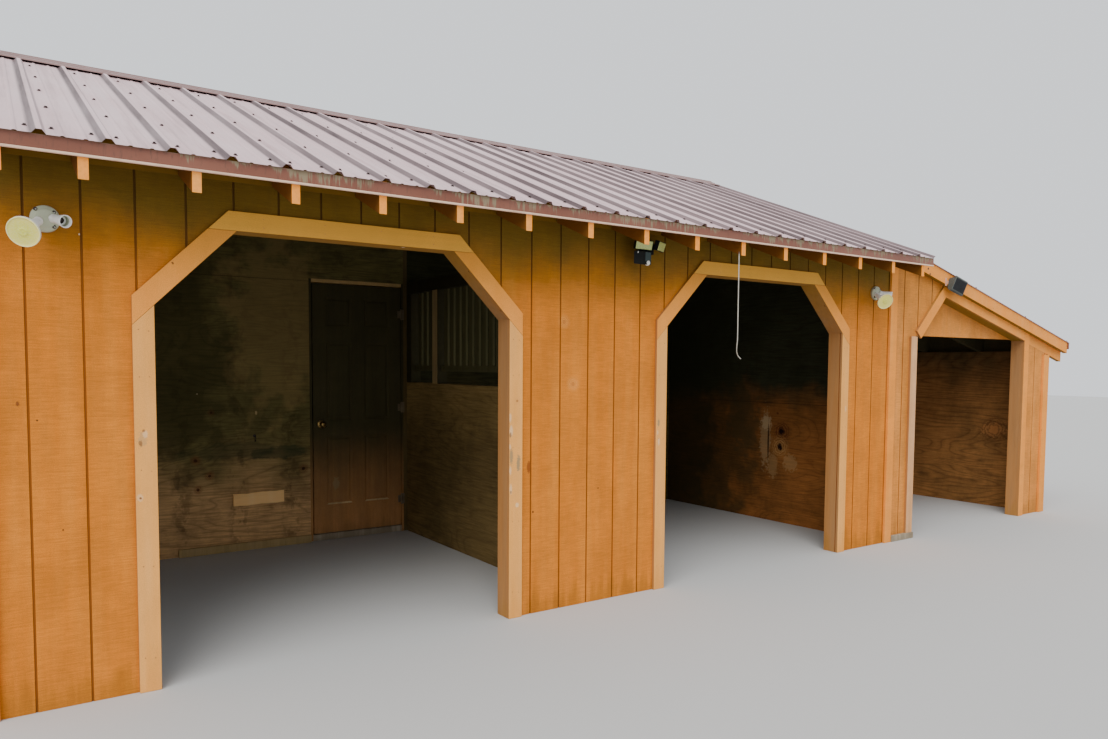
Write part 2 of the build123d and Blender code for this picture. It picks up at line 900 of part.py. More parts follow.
def corner_board(x, y, side, depth_side, z_bottom, z_top):
    """An upright corner board with a return: side and depth_side are +1 or -1, towards the wall faces."""
    out = trim_thickness
    reach = corner_board_width
    with BuildSketch(ground_plane(z_bottom)) as corner:
        with BuildLine():
            Polyline(
                (x - side * out, y - depth_side * out),
                (x + side * reach, y - depth_side * out),
                (x + side * reach, y),
                (x, y),
                (x, y + depth_side * reach),
                (x - side * out, y + depth_side * reach),
                close=True,
            )
        make_face()
    extrude(corner.sketch, amount=z_top - z_bottom)


main_board_top = rafter_underside(0) - corner_board_top_gap
lean_board_top = lean_rafter_underside(lean_end) - corner_board_top_gap

with BuildPart() as corner_boards:
    corner_board(0, 0, 1, 1, 0, main_board_top)
    corner_board(0, main_depth, 1, -1, 0, main_board_top)
    corner_board(lean_end, 0, -1, 1, 0, lean_board_top)
    corner_board(lean_end, main_depth, -1, -1, 0, lean_board_top)
    block((main_length - trim_width, main_length), (-trim_thickness, 0), (0, main_board_top))
    block(
        (main_length - trim_width, main_length),
        (main_depth, main_depth + trim_thickness),
        (0, lean_rafter_underside(main_length)),
    )
save(corner_boards.part, "corner_boards")

# Twin flood lights: a round plate, one lamp and one empty socket
bulb_direction = Vector(*flood_bulb_lean).normalized()
socket_direction = Vector(*flood_socket_lean).normalized()
flood_holders = ((-flood_socket_offset, bulb_direction), (flood_socket_offset, socket_direction))

flood_light_positions = (flood_light_inset, main_length - flood_light_inset)
flood_light_height = rafter_underside(0) - flood_light_drop


def flood_plane(x, offset, direction, along):
    """A sketch plane across a lamp's axis, at a distance along it from the plate."""
    base = Vector(x + offset - origin_x, -flood_plate_thickness - origin_y, flood_light_height)
    return Plane(origin=base + direction * along, z_dir=direction)


with BuildPart() as flood_light_plates:
    for x in flood_light_positions:
        with BuildSketch(front_plane(0)):
            with Locations((x, flood_light_height)):
                Circle(flood_plate_radius)
        extrude(amount=flood_plate_thickness)
        for offset, direction in flood_holders:
            with BuildSketch(flood_plane(x, offset, direction, -flood_plate_thickness / 2)):
                Circle(flood_socket_radius)
            extrude(amount=flood_socket_length + flood_plate_thickness / 2)
        with BuildSketch(flood_plane(x, flood_socket_offset, socket_direction, flood_socket_length)):
            Circle(flood_socket_bore)
        extrude(amount=-flood_socket_length / 2, mode=Mode.SUBTRACT)
save(flood_light_plates.part, "flood_light_plates")

with BuildPart() as flood_bulbs:
    for x in flood_light_positions:
        bulb_start = flood_plane(x, -flood_socket_offset, bulb_direction, flood_socket_length)
        bulb_reach = flood_bulb_length - flood_socket_length
        with BuildSketch(bulb_start):
            Circle(flood_bulb_neck)
        with BuildSketch(bulb_start.offset(bulb_reach - flood_bulb_rim)):
            Circle(flood_bulb_radius)
        loft()
        with BuildSketch(bulb_start.offset(bulb_reach - flood_bulb_rim)):
            Circle(flood_bulb_radius)
        extrude(amount=flood_bulb_rim)
save(flood_bulbs.part, "flood_bulbs")

# Security light over the middle pier: a wall box with a sensor and two lamp heads, the right head turned out
with BuildPart() as security_light:
    security_light_x = left_opening + opening_width + security_light_offset
    security_light_height = rafter_underside(0) - security_light_drop
    box_width, box_depth, box_height = security_box_size
    head_width, head_thickness, head_height = security_head_size
    sensor_width, sensor_depth, sensor_height = security_sensor_size
    box_left = security_light_x - box_width / 2
    box_right = security_light_x + box_width / 2
    box_bottom = security_light_height - box_height / 2
    head_back = -box_depth - security_arm_reach
    head_bottom = security_light_height - head_height / 2
    arm_z = (security_light_height - security_arm_width / 2, security_light_height + security_arm_width / 2)
    block((box_left, box_right), (-box_depth, 0), (box_bottom, box_bottom + box_height))
    block((box_left, box_left + security_arm_width), (head_back, -box_depth), arm_z)
    head_right = box_left + security_arm_width
    head_y = (head_back - head_thickness, head_back)
    block((head_right - head_width, head_right), head_y, (head_bottom, head_bottom + head_height))
    block((box_right - security_arm_width, box_right), (head_back, -box_depth), arm_z)
    with BuildSketch(ground_plane(head_bottom)):
        with Locations(Location((box_right, head_back), security_head_turn)):
            Rectangle(head_width, head_thickness)
    extrude(amount=head_height)
    sensor_right = box_left + security_lug
    sensor_top = box_bottom + security_lug / 2
    sensor_back = -box_depth
    block(
        (sensor_right - sensor_width, sensor_right),
        (sensor_back - sensor_depth, sensor_back),
        (sensor_top - sensor_height, sensor_top),
    )
    block(
        (sensor_right - 2 * security_lug, box_left + 2 * security_lug),
        (sensor_back - 2 * security_lug, sensor_back + 2 * security_lug),
        (sensor_top - security_lug, sensor_top + security_lug),
    )
    dome_x = sensor_right - 2 * security_dome_radius
    dome_y = sensor_back - sensor_depth
    dome_z = sensor_top - sensor_height + security_dome_radius / 2
    with Locations((dome_x - origin_x, dome_y - origin_y, dome_z)):
        Sphere(security_dome_radius)
save(security_light.part, "security_light")

# Small lamp on the lean-to's rake board
with BuildPart() as solar_light:
    solar_width, solar_depth, solar_height = solar_light_size
    solar_light_x = main_length + solar_light_offset
    solar_z = lean_roof_underside(solar_light_x) - solar_light_drop
    rake_face = -trim_thickness - rake_board_thickness
    with BuildSketch(front_plane(rake_face)):
        with Locations(Location((solar_light_x, solar_z), -math.degrees(math.atan(lean_slope)))):
            RectangleRounded(solar_width, solar_height, solar_light_corner)
    extrude(amount=solar_depth)
save(solar_light.part, "solar_light")

# Pull cord and its hook, on the side of a rafter tail
cord_tail_face = rafter_centres[cord_tail_index] - rafter_width / 2
cord_x = cord_tail_face - cord_hook_size / 2
cord_y = -eave_overhang + cord_hook_inset
cord_top = tail_height + cord_hook_rise

with BuildPart() as cord_hook:
    block(
        (cord_tail_face - cord_hook_size, cord_tail_face),
        (cord_y - cord_hook_size / 2, cord_y + cord_hook_size / 2),
        (cord_top, cord_top + cord_hook_size),
    )
save(cord_hook.part, "cord_hook")

# Points down the cord, from its top at the hook. It hangs straight, with a kinked end.
cord_shifts = [
    (0, 0, 0),
    (0, 0, -548),
    (-5, 1, -594),
    (-4, 2, -622),
    (4, 1, -644),
    (17, -1, -658),
    (31, -1, -667),
]
cord_points = [(cord_x + dx - origin_x, cord_y + dy - origin_y, cord_top + dz) for dx, dy, dz in cord_shifts]


def cord_radii(points):
    """Bend radius at each inner point, as large as its two runs allow."""
    radii = []
    for before, here, after in zip(points, points[1:], points[2:]):
        run_in = Vector(*here) - Vector(*before)
        run_out = Vector(*after) - Vector(*here)
        half_turn = math.radians(run_in.get_angle(run_out)) / 2
        radii.append(0.45 * min(run_in.length, run_out.length) / math.tan(half_turn))
    return radii


radii = cord_radii(cord_points)
print("cord radii", [round(radius) for radius in radii])

with BuildPart() as pull_cord:
    with BuildLine() as cord_path:
        FilletPolyline(*cord_points, radius=radii)
    start_direction = Vector(*cord_points[1]) - Vector(*cord_points[0])
    with BuildSketch(Plane(origin=cord_points[0], z_dir=start_direction)):
        Circle(cord_radius)
    sweep(path=cord_path.wires()[0])
save(pull_cord.part, "pull_cord")
print("cord length", round(cord_path.wires()[0].length, 1))
tube_volume = math.pi * cord_radius**2 * cord_path.wires()[0].length
print("cord volume ratio", round(pull_cord.part.volume / tube_volume, 4))
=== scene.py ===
"""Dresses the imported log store: grooved board walls, ribbed roof sheets, trims, door, lamps and pull cord."""
import math
from types import SimpleNamespace

import bmesh
import bpy
from mathutils import Matrix, Vector


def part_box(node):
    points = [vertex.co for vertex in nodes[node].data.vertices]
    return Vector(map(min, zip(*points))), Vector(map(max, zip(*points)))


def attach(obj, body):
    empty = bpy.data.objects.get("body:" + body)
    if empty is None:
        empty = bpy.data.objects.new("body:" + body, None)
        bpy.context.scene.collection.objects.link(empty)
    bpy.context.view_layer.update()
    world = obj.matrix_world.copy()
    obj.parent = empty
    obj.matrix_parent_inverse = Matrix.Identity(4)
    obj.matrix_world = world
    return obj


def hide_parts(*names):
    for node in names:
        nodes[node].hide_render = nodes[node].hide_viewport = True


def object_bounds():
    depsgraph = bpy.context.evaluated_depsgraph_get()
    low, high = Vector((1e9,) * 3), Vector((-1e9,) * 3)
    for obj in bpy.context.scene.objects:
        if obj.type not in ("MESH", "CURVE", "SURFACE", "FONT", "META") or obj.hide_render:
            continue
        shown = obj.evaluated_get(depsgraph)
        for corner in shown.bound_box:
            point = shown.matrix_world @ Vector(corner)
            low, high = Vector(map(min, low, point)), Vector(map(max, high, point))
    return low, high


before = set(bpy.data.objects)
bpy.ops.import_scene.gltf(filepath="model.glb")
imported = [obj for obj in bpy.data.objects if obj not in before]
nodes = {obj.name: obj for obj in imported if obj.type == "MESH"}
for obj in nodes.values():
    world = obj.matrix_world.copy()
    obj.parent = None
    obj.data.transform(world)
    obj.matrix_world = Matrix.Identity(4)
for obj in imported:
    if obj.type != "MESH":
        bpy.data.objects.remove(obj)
cad_low, cad_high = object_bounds()
scene = bpy.context.scene
front_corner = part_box("front_wall_piers")[0]


def spot(x, y, z):
    """A point of the building in metres, from its left front corner in millimetres: right, back and up."""
    return front_corner + Vector((x, y, z)) / 1000


# Sizes of the building that the dressing follows, in millimetres
main_length = 6200
main_depth = 4200
roof_left = -25
eave_overhang = 300
eave_edge = -321
rafter_base = 2146
rafter_height = 140
main_slope = 5 / 12
lean_slope = 0.247
lean_drop = 11
lean_end = 8800
right_wall_inside = 6095
lean_wall_inside = 8695
opening_lefts = (682, 3680)
opening_width = 1810
opening_height = 2050
partition_left = 3036
door_wall = 2540
trim_face = -19


def roof_underside(y):
    """Height of the main roof's underside at a distance back from the front."""
    run = min(y, main_depth - y) + eave_overhang
    return rafter_base + run * main_slope + rafter_height * math.hypot(1, main_slope)


def lean_underside(x):
    """Height of the lean-to roof's underside."""
    return roof_underside(0) - lean_drop - (x - main_length) * lean_slope


# Camera at the photograph's place
camera_data = bpy.data.cameras.new("photo_view")
camera_data.sensor_fit = "HORIZONTAL"
camera_data.sensor_width = 36
camera_data.lens = 26.132
camera_data.shift_x = 0.01359
camera_data.shift_y = 0.03522
camera = bpy.data.objects.new("photo_view", camera_data)
scene.collection.objects.link(camera)
yaw, pitch, roll = math.radians(33.885), math.radians(3.182), math.radians(0.318)
level_right = Vector((math.cos(yaw), -math.sin(yaw), 0))
forward = Vector((math.cos(pitch) * math.sin(yaw), math.cos(pitch) * math.cos(yaw), -math.sin(pitch)))
plumb_down = Vector((-math.sin(pitch) * math.sin(yaw), -math.sin(pitch) * math.cos(yaw), -math.cos(pitch)))
camera_right = math.cos(roll) * level_right - math.sin(roll) * plumb_down
camera_down = math.sin(roll) * level_right + math.cos(roll) * plumb_down
facing = Matrix((camera_right, -camera_down, -forward)).transposed().to_4x4()
camera.matrix_world = Matrix.Translation(spot(115, -3855, 1454)) @ facing
scene.camera = camera

# Pull cord: it hangs from its hook and kinks at the end
cord_top = spot(4036, -285, 2160)
cord_drops = [
    (0, 0, 0), (0, 0, -36), (0, 0, -502), (0, 0, -548),
    (-5, 1, -594), (-4, 2, -622), (4, 1, -644), (17, -1, -658), (31, -1, -667),
]
cord_curve = bpy.data.curves.new("pull_cord_line", "CURVE")
cord_curve.dimensions = "3D"
cord_curve.bevel_depth = 0.003
cord_curve.bevel_resolution = 4
cord_curve.resolution_u = 12
cord_curve.use_fill_caps = True
cord_line = cord_curve.splines.new("NURBS")
cord_line.points.add(len(cord_drops) - 1)
for point, drop in zip(cord_line.points, cord_drops):
    point.co = (*(cord_top + Vector(drop) / 1000), 1)
cord_line.order_u = 3
cord_line.use_endpoint_u = True
pull_cord = bpy.data.objects.new("pull_cord_line", cord_curve)
scene.collection.objects.link(pull_cord)


# Node helpers
def srgb(colour):
    """A paint colour from its 0 to 255 values, as light."""
    return (*(((c / 255 + 0.055) / 1.055) ** 2.4 if c > 10 else c / 255 / 12.92 for c in colour), 1)


def put(tree, kind, sockets, out=0, **settings):
    """Adds a node and gives one of its outputs. A value goes on its socket, and a wire is joined to it."""
    node = tree.nodes.new(kind)
    for name, value in settings.items():
        setattr(node, name, value)
    for name, value in sockets.items():
        if isinstance(value, Wire):
            tree.links.new(value.socket, node.inputs[name])
        else:
            node.inputs[name].default_value = value
    return Wire(tree, node.outputs[out])


def mixed(tree, share, first, second, way="MIX"):
    """Two colours laid over each other; a plain colour has 0 to 255 values."""
    first, second = (srgb(colour) if isinstance(colour, tuple) else colour for colour in (first, second))
    sockets = {0: share, 6: first, 7: second}
    return put(tree, "ShaderNodeMix", sockets, 2, data_type="RGBA", blend_type=way)


def use(tree, group, **sockets):
    """A shared effect with its own values. An underscore in a name stands for a space."""
    named = {name.replace("_", " "): value for name, value in sockets.items()}
    return put(tree, "ShaderNodeGroup", named, node_tree=group)


class Wire:
    """A number, place or colour that runs through a node tree. Each sum on it adds a node."""

    def __init__(self, tree, socket):
        self.tree = tree
        self.socket = socket

    def also(self, name):
        """Another output of the same node."""
        return Wire(self.tree, self.socket.node.outputs[name])

    def to(self, socket):
        """Joins this to a socket."""
        self.tree.links.new(self.socket, socket)

    def sum(self, action, *others, out=0):
        """A sum on this and others, of numbers or of places."""
        kind = "ShaderNodeMath" if self.socket.type in ("VALUE", "INT") else "ShaderNodeVectorMath"
        return put(self.tree, kind, dict(enumerate((self, *others))), out, operation=action)

    def __add__(self, other):
        return self.sum("ADD", other)

    def __sub__(self, other):
        return self.sum("SUBTRACT", other)

    def __rsub__(self, other):
        return put(self.tree, "ShaderNodeMath", {0: other, 1: self}, operation="SUBTRACT")

    def __mul__(self, other):
        return self.sum("MULTIPLY", other)

    def __truediv__(self, other):
        return self.sum("DIVIDE", other)

    def part(self, axis):
        """One of a place's three numbers."""
        return put(self.tree, "ShaderNodeSeparateXYZ", {0: self}, axis)

    def ranged(self, low, high, to_low=0.0, to_high=1.0, smooth=False):
        """A number moved from one range to another, kept inside it."""
        kind = "SMOOTHSTEP" if smooth else "LINEAR"
        sockets = {"Value": self, "From Min": low, "From Max": high, "To Min": to_low, "To Max": to_high}
        return put(self.tree, "ShaderNodeMapRange", sockets, interpolation_type=kind)

    def clouds(self, scale, detail=3.0, roughness=0.55, **more):
        """Cloudy noise at this place, 0 to 1."""
        sockets = {"Vector": self, "Scale": scale, "Detail": detail, "Roughness": roughness, **more}
        return put(self.tree, "ShaderNodeTexNoise", sockets)

    def cells(self, scale):
        """Distance to the nearest of scattered points at this place."""
        return put(self.tree, "ShaderNodeTexVoronoi", {"Vector": self, "Scale": scale}, "Distance")

    def spotted(self, scale, size, edge, share):
        """Scattered round spots at this place."""
        return use(self.tree, spots, Vector=self, Scale=scale, Size=size, Edge=edge, Share=share)

    def under(self, colour, share):
        """This colour with another laid over it."""
        return mixed(self.tree, share, self, colour)

    def times(self, number):
        """This colour made darker or lighter by a number."""
        grey = put(self.tree, "ShaderNodeCombineColor", {0: number, 1: number, 2: number})
        return mixed(self.tree, 1.0, self, grey, "MULTIPLY")


NUMBER, COLOUR, VECTOR = "NodeSocketFloat", "NodeSocketColor", "NodeSocketVector"
GEOMETRY, MATERIAL = "NodeSocketGeometry", "NodeSocketMaterial"


def group_of(kind, name, gives, **takes):
    """An empty node group, its inputs as wires and its outputs; an input is a kind or a first value."""
    group = bpy.data.node_groups.new(name, kind)
    value_kinds = {float: NUMBER, int: "NodeSocketInt", tuple: VECTOR}
    for label, value in takes.items():
        socket_kind = value if isinstance(value, str) else value_kinds[type(value)]
        spaced = label.replace("_", " ")
        socket = group.interface.new_socket(name=spaced, in_out="INPUT", socket_type=socket_kind)
        if not isinstance(value, str):
            socket.default_value = value
    for label, socket_kind in gives.items():
        group.interface.new_socket(name=label, in_out="OUTPUT", socket_type=socket_kind)
    ends = group.nodes.new("NodeGroupInput").outputs
    given = SimpleNamespace(**{label: Wire(group, ends[label.replace("_", " ")]) for label in takes})
    return group, given, group.nodes.new("NodeGroupOutput").inputs


def wrapped(along, first, pitch):
    """A distance wrapped at a pitch, and the half pitch at which each line then lies."""
    half = pitch * 0.5
    return (along - first + half).sum("FLOORED_MODULO", pitch), half


# Shared surface effects
def make_sawn_grain():
    """Long sawn grain: a tone for the colour and a height for the surface."""
    group, given, give = group_of(
        "ShaderNodeTree", "sawn_grain", {"Tone": NUMBER, "Height": NUMBER}, Vector=VECTOR,
        Stretch=(40, 40, 2), Fineness=1.0,
    )
    along = given.Vector * given.Stretch
    broad = along.clouds(given.Fineness, 4.0, 0.6)
    fine = along.clouds(given.Fineness * 4.5, 5.0, 0.7)
    (broad * 0.65 + fine * 0.35).to(give["Tone"])
    (broad * 0.4 + fine * 0.6).to(give["Height"])
    return group


def make_ply_figure():
    """The wide wavy rings of rotary cut plywood."""
    group, given, give = group_of(
        "ShaderNodeTree", "ply_figure", {"Tone": NUMBER, "Line": NUMBER}, Vector=VECTOR,
        Stretch=(0.6, 0.6, 3), Rings=14.0, Wobble=0.6,
    )
    hills = (given.Vector * given.Stretch).clouds(1.0, 2.0, 0.5, Distortion=given.Wobble)
    tone = (hills * given.Rings).sum("PINGPONG", 0.5) * 2.0
    tone.to(give["Tone"])
    tone.ranged(0.0, 0.3, 1.0, 0.0).to(give["Line"])
    return group


def make_spots():
    """Scattered round spots, such as knots, chips and lichen."""
    group, given, give = group_of(
        "ShaderNodeTree", "spots", {"Mask": NUMBER}, Vector=VECTOR, Scale=5.0, Size=0.2, Edge=0.05,
        Share=0.5,
    )
    wander = given.Vector.clouds(18.0, 2.0, 0.5).also("Color")
    near = (given.Vector + wander * (0.04, 0.04, 0.04)).cells(given.Scale)
    inside = near.ranged(given.Size, given.Size + given.Edge, 1.0, 0.0)
    pick = put(group, "ShaderNodeSeparateColor", {0: near.also("Color")})
    (inside * pick.sum("LESS_THAN", given.Share)).to(give["Mask"])
    return group


def make_mark():
    """One stain, knot, chip or patch of painted shade or light at its own place: full inside its radius and
    ragged at its edge.
    """
    group, given, give = group_of(
        "ShaderNodeTree", "mark", {"Mask": NUMBER, "Rings": NUMBER}, Vector=VECTOR, Middle=VECTOR,
        Stretch=(1, 1, 1), Radius=0.03, Edge=0.02, Raggedness=0.02, Fineness=38.0,
    )
    away = ((given.Vector - given.Middle) * given.Stretch).sum("LENGTH", out="Value")
    far = away + (given.Vector.clouds(given.Fineness, 4.0) - 0.5) * given.Raggedness * 2.0
    far.ranged(given.Radius, given.Radius + given.Edge, 1.0, 0.0).to(give["Mask"])
    ((far / given.Radius * 2.5).sum("PINGPONG", 0.5) * 2.0).to(give["Rings"])
    return group


def make_stud_stains():
    """Dark blots in upright rows where nails hold the lining to its studs."""
    group, given, give = group_of(
        "ShaderNodeTree", "stud_stains", {"Mask": NUMBER}, Vector=VECTOR, Along=(1, 1, 0), Pitch=0.4064,
        First=0.0, Width=0.05,
    )
    place, half = wrapped(given.Vector.sum("DOT_PRODUCT", given.Along, out="Value"), given.First, given.Pitch)
    row = (place - half).sum("ABSOLUTE").ranged(given.Width * 0.3, given.Width, 1.0, 0.0, smooth=True)
    blots = (given.Vector * (9, 9, 7)).clouds(1.6, 3.0, 0.6).ranged(0.5, 0.6)
    (row * blots).to(give["Mask"])
    return group


def make_rib_shade_and_soil():
    """Painted shade and settled dirt in the lee of each roof rib."""
    group, given, give = group_of(
        "ShaderNodeTree", "rib_shade_and_soil", {"Mask": NUMBER}, Vector=VECTOR, Along=(1, 0, 0), Pitch=0.2286,
        First=0.0, Reach=0.042,
    )
    place, half = wrapped(given.Vector.sum("DOT_PRODUCT", given.Along, out="Value"), given.First, given.Pitch)
    side = half - place
    lee = side.ranged(0.007, 0.011) * side.ranged(given.Reach * 0.55, given.Reach, 1.0, 0.0, smooth=True)
    other = side.ranged(-0.024, -0.018) * side.ranged(-0.011, -0.009, 0.35, 0.0)
    (lee + other).to(give["Mask"])
    return group


def make_weathering_and_eave_shade():
    """Paint that has stood outside: painted shade and grime under the eave, splashed at the foot, streaked
    between.
    """
    group, given, give = group_of(
        "ShaderNodeTree", "weathering_and_eave_shade", {"Colour": COLOUR}, Vector=VECTOR, Paint=COLOUR, Faded=COLOUR,
        Grime=COLOUR, Shade_from=1.72, Shade_to=2.2, Shade=0.9, Splash_height=0.16, Splash=0.3, Fading=0.4,
    )
    height = given.Vector.part(2)
    streaks = (given.Vector * (9, 9, 0.8)).clouds(1.0, 4.0, 0.6)
    high = height + (given.Vector.clouds(2.2, 4.0, 0.6) - 0.5) * 0.3
    # Painted shade under the eave, rising from Shade from to Shade to.
    shade = high.ranged(given.Shade_from, given.Shade_to, smooth=True) * given.Shade
    low = height + (streaks - 0.5) * 0.7
    splash = low.ranged(0.0, given.Splash_height, 1.0, 0.0, smooth=True) * given.Splash
    colour = mixed(group, streaks.ranged(0.4, 0.7) * given.Fading, given.Paint, given.Faded)
    colour.under(given.Grime, shade.sum("MAXIMUM", splash)).to(give["Colour"])
    return group


sawn_grain = make_sawn_grain()
ply_figure = make_ply_figure()
spots = make_spots()
mark = make_mark()
stud_stains = make_stud_stains()
rib_shade_and_soil = make_rib_shade_and_soil()
weathering_and_eave_shade = make_weathering_and_eave_shade()


def new_finish(name):
    """A new material: its tree, its shader's inputs and the place on the piece."""
    material = bpy.data.materials.new(name)
    material.use_nodes = True
    tree = material.node_tree
    return material, tree, tree.nodes["Principled BSDF"].inputs, put(tree, "ShaderNodeTexCoord", {}, "Object")


def bump(shader, height, strength, distance):
    """Surface relief from a height."""
    sockets = {"Height": height, "Strength": strength, "Distance": distance}
    put(height.tree, "ShaderNodeBump", sockets).to(shader["Normal"])


def marked(colour, place, marks):
    """Stains, chips and patches of painted shade and light on a colour: each is a place, its radius in
    millimetres, stretch, tone and share.
    """
    for where, radius, stretch, tone, share in marks:
        stretch = stretch if isinstance(stretch, tuple) else (1, 1, stretch)
        mask = use(
            place.tree, mark, Vector=place, Middle=tuple(spot(*where)), Stretch=stretch,
            Radius=radius / 1000, Edge=radius / 2500, Raggedness=radius / 800, Fineness=2000 / radius,
        )
        colour = colour.under(tone, mask * share)
    return colour


def knotted(colour, place, knots):
    """Knots with their rings: each is a place and radius in millimetres, ring tone, heart tone, share."""
    for where, radius, ring_tone, heart_tone, share in knots:
        ring, heart = (
            use(
                place.tree, mark, Vector=place, Middle=tuple(spot(*where)), Radius=radius / part,
                Edge=radius / part, Raggedness=radius / 3000,
            )
            for part in (1400, 4200)
        )
        colour = colour.under(ring_tone, ring * ring.also("Rings") * share)
        colour = colour.under(heart_tone, heart * share)
    return colour


def painted_timber(
    name, paint, faded, dark_tone, stretch, fading=0.4, chips=0.0, knots=0.0, shade=0.9, splash=0.3,
    contrast=0.1, relief=0.5, marks=(), placed_knots=(), across=None, rough=0.0, shaded=(1.72, 2.2),
):
    """Painted timber: weathered, with painted shade under the eave, its grain showing through, with chips and
    knots. across is for saw lines.
    """
    material, tree, shader, place = new_finish(name)
    colour = use(
        tree, weathering_and_eave_shade, Vector=place, Paint=srgb(paint), Faded=srgb(faded), Grime=srgb(dark_tone),
        Fading=fading, Shade=shade, Splash=splash, Shade_from=shaded[0], Shade_to=shaded[1],
    )
    grain = use(tree, sawn_grain, Vector=place, Stretch=stretch)
    colour = colour.times(grain.ranged(0.35, 0.65, 1 - contrast, 1 + contrast * 0.7))
    height = grain.also("Height")
    if across:
        lines = use(tree, sawn_grain, Vector=place, Stretch=across)
        colour = colour.times(lines.ranged(0.38, 0.62, 0.83, 1.1))
        height = height * 0.3 + lines.also("Height")
    if rough:
        cloud = (place * (1, 1, 0.8)).clouds(4.2, 6.0, 0.72).ranged(0.38, 0.62, 1 - rough, 1 + rough * 0.5)
        colour = colour.times(cloud * place.clouds(260.0, 2.0, 0.8).ranged(0.35, 0.65, 0.86, 1.1))
        colour = colour.under((84, 44, 20), place.spotted(5.5, 0.02, 0.012, 0.3) * 0.8)
    if knots:
        oval = place * (1, 1, 0.6)
        ring = oval.spotted(3.1, 0.05, 0.03, knots)
        colour = colour.under(faded, ring * 0.3)
        colour = colour.under((120, 66, 24), oval.spotted(3.1, 0.02, 0.015, knots) * 0.55)
        height = height + ring * 0.6
    if chips:
        bare = place.spotted(12.0, 0.1, 0.03, chips)
        colour = colour.under((226, 206, 176), bare)
        height = height - bare * 0.8
    knotted(marked(colour, place, marks), place, placed_knots).to(shader["Base Color"])
    grain.ranged(0.3, 0.7, 0.72, 0.9).to(shader["Roughness"])
    shader["Specular IOR Level"].default_value = 0.2
    bump(shader, height, relief, 0.003)
    return material


def plywood(
    name, low, high, dark, stretch, figure=0.25, rings=14.0, dirt=0.5, change=(0.9, 1.5), marks=(),
    placed_knots=(), first_stud=None,
):
    """Bare plywood lining: one tone low down and another above, its cut figure, knots, stains, patches of
    painted shade and dirt.
    """
    material, tree, shader, place = new_finish(name)
    level = place.part(2) + (place.clouds(1.5, 4.0, 0.6) - 0.5) * 0.9
    colour = mixed(tree, level.ranged(*change, smooth=True), low, high)
    veneer = use(tree, ply_figure, Vector=place, Stretch=stretch, Rings=rings, Wobble=0.5)
    fine = use(tree, sawn_grain, Vector=place, Stretch=(5, 5, 90))
    colour = colour.under(dark, veneer.also("Line") * figure)
    banded = veneer.ranged(0.0, 1.0, 1 - figure * 0.3, 1 + figure * 0.15)
    colour = colour.times(fine.ranged(0.36, 0.64, 0.72, 1.24) * banded)
    colour = colour.under(dark, (place * (0.8, 0.8, 1.3)).spotted(2.6, 0.04, 0.05, 0.35) * 0.5)
    if first_stud:
        first = spot(first_stud, 0, 0).x
        rows = use(tree, stud_stains, Vector=place, Along=(1, 0, 0), First=first, Width=0.1)
        colour = colour.under(dark, rows * 0.4)
    colour = colour.under((34, 36, 18), place.clouds(1.9, 6.0, 0.7).ranged(0.44, 0.68, 0.0, dirt))
    knotted(marked(colour, place, marks), place, placed_knots).to(shader["Base Color"])
    shader["Roughness"].default_value = 0.86
    shader["Specular IOR Level"].default_value = 0.15
    bump(shader, fine.also("Height"), 0.4, 0.002)
    return material


def sheet_paint(name, paint, dust, dark_tone, stretch, roughness=0.42, streaks=0.5, ribs=None):
    """Painted steel sheet, chalky and streaked along its slope; ribs is their axis and the first's place."""
    material, tree, shader, place = new_finish(name)
    runs = (place * stretch).clouds(1.0, 5.0, 0.65)
    colour = mixed(tree, place.clouds(1.1, 4.0, 0.6).ranged(0.35, 0.7) * 0.55, paint, dust)
    colour = colour.under(dark_tone, runs.ranged(0.5, 0.75) * streaks)
    if ribs:
        # Painted shade and dirt beside each rib.
        shade_and_soil = use(tree, rib_shade_and_soil, Vector=place, Along=ribs[0], First=ribs[1])
        colour = colour.under((70, 54, 56), shade_and_soil * runs.ranged(0.3, 0.7, 0.7, 1.0))
    colour.to(shader["Base Color"])
    runs.ranged(0.3, 0.7, roughness - 0.08, roughness + 0.18).to(shader["Roughness"])
    bump(shader, place.clouds(160.0, 2.0), 0.08, 0.0006)
    return material


def plain_part(name, colour, second, roughness, metallic=0.0, scale=60.0, share=0.5, relief=0.12, shine=None):
    """A moulded or cast part with a fine uneven surface."""
    material, tree, shader, place = new_finish(name)
    grit = place.clouds(scale, 4.0, 0.6)
    clouds = place.clouds(scale / 6, 3.0, 0.6)
    mixed(tree, clouds.ranged(0.4, 0.7) * share, colour, second).to(shader["Base Color"])
    grit.ranged(0.3, 0.7, roughness - 0.08, roughness + 0.1).to(shader["Roughness"])
    shader["Metallic"].default_value = metallic
    if shine:
        shader["Specular IOR Level"].default_value = shine
    bump(shader, grit, relief, 0.001)
    return material


def on_front(y, rows):
    """Marks or knots on a face that looks to the front: each row has its x and z first."""
    return [((x, y, z), *rest) for x, z, *rest in rows]


def on_end(x, rows):
    """Marks or knots on a face that looks along the building: each row has its y and z first."""
    return [((x, y, z), *rest) for y, z, *rest in rows]


# Paints and bare woods, each with its marks where the photograph shows them
saw_lines = (15, 15, 300)
pale_wood = (240, 214, 170)
pale_chip = (232, 190, 142)
grey_lichen = (128, 122, 96)
bare_brown = (120, 80, 50)
siding_look = {"fading": 0.5, "knots": 0.1, "contrast": 0.08, "across": saw_lines, "rough": 0.11}
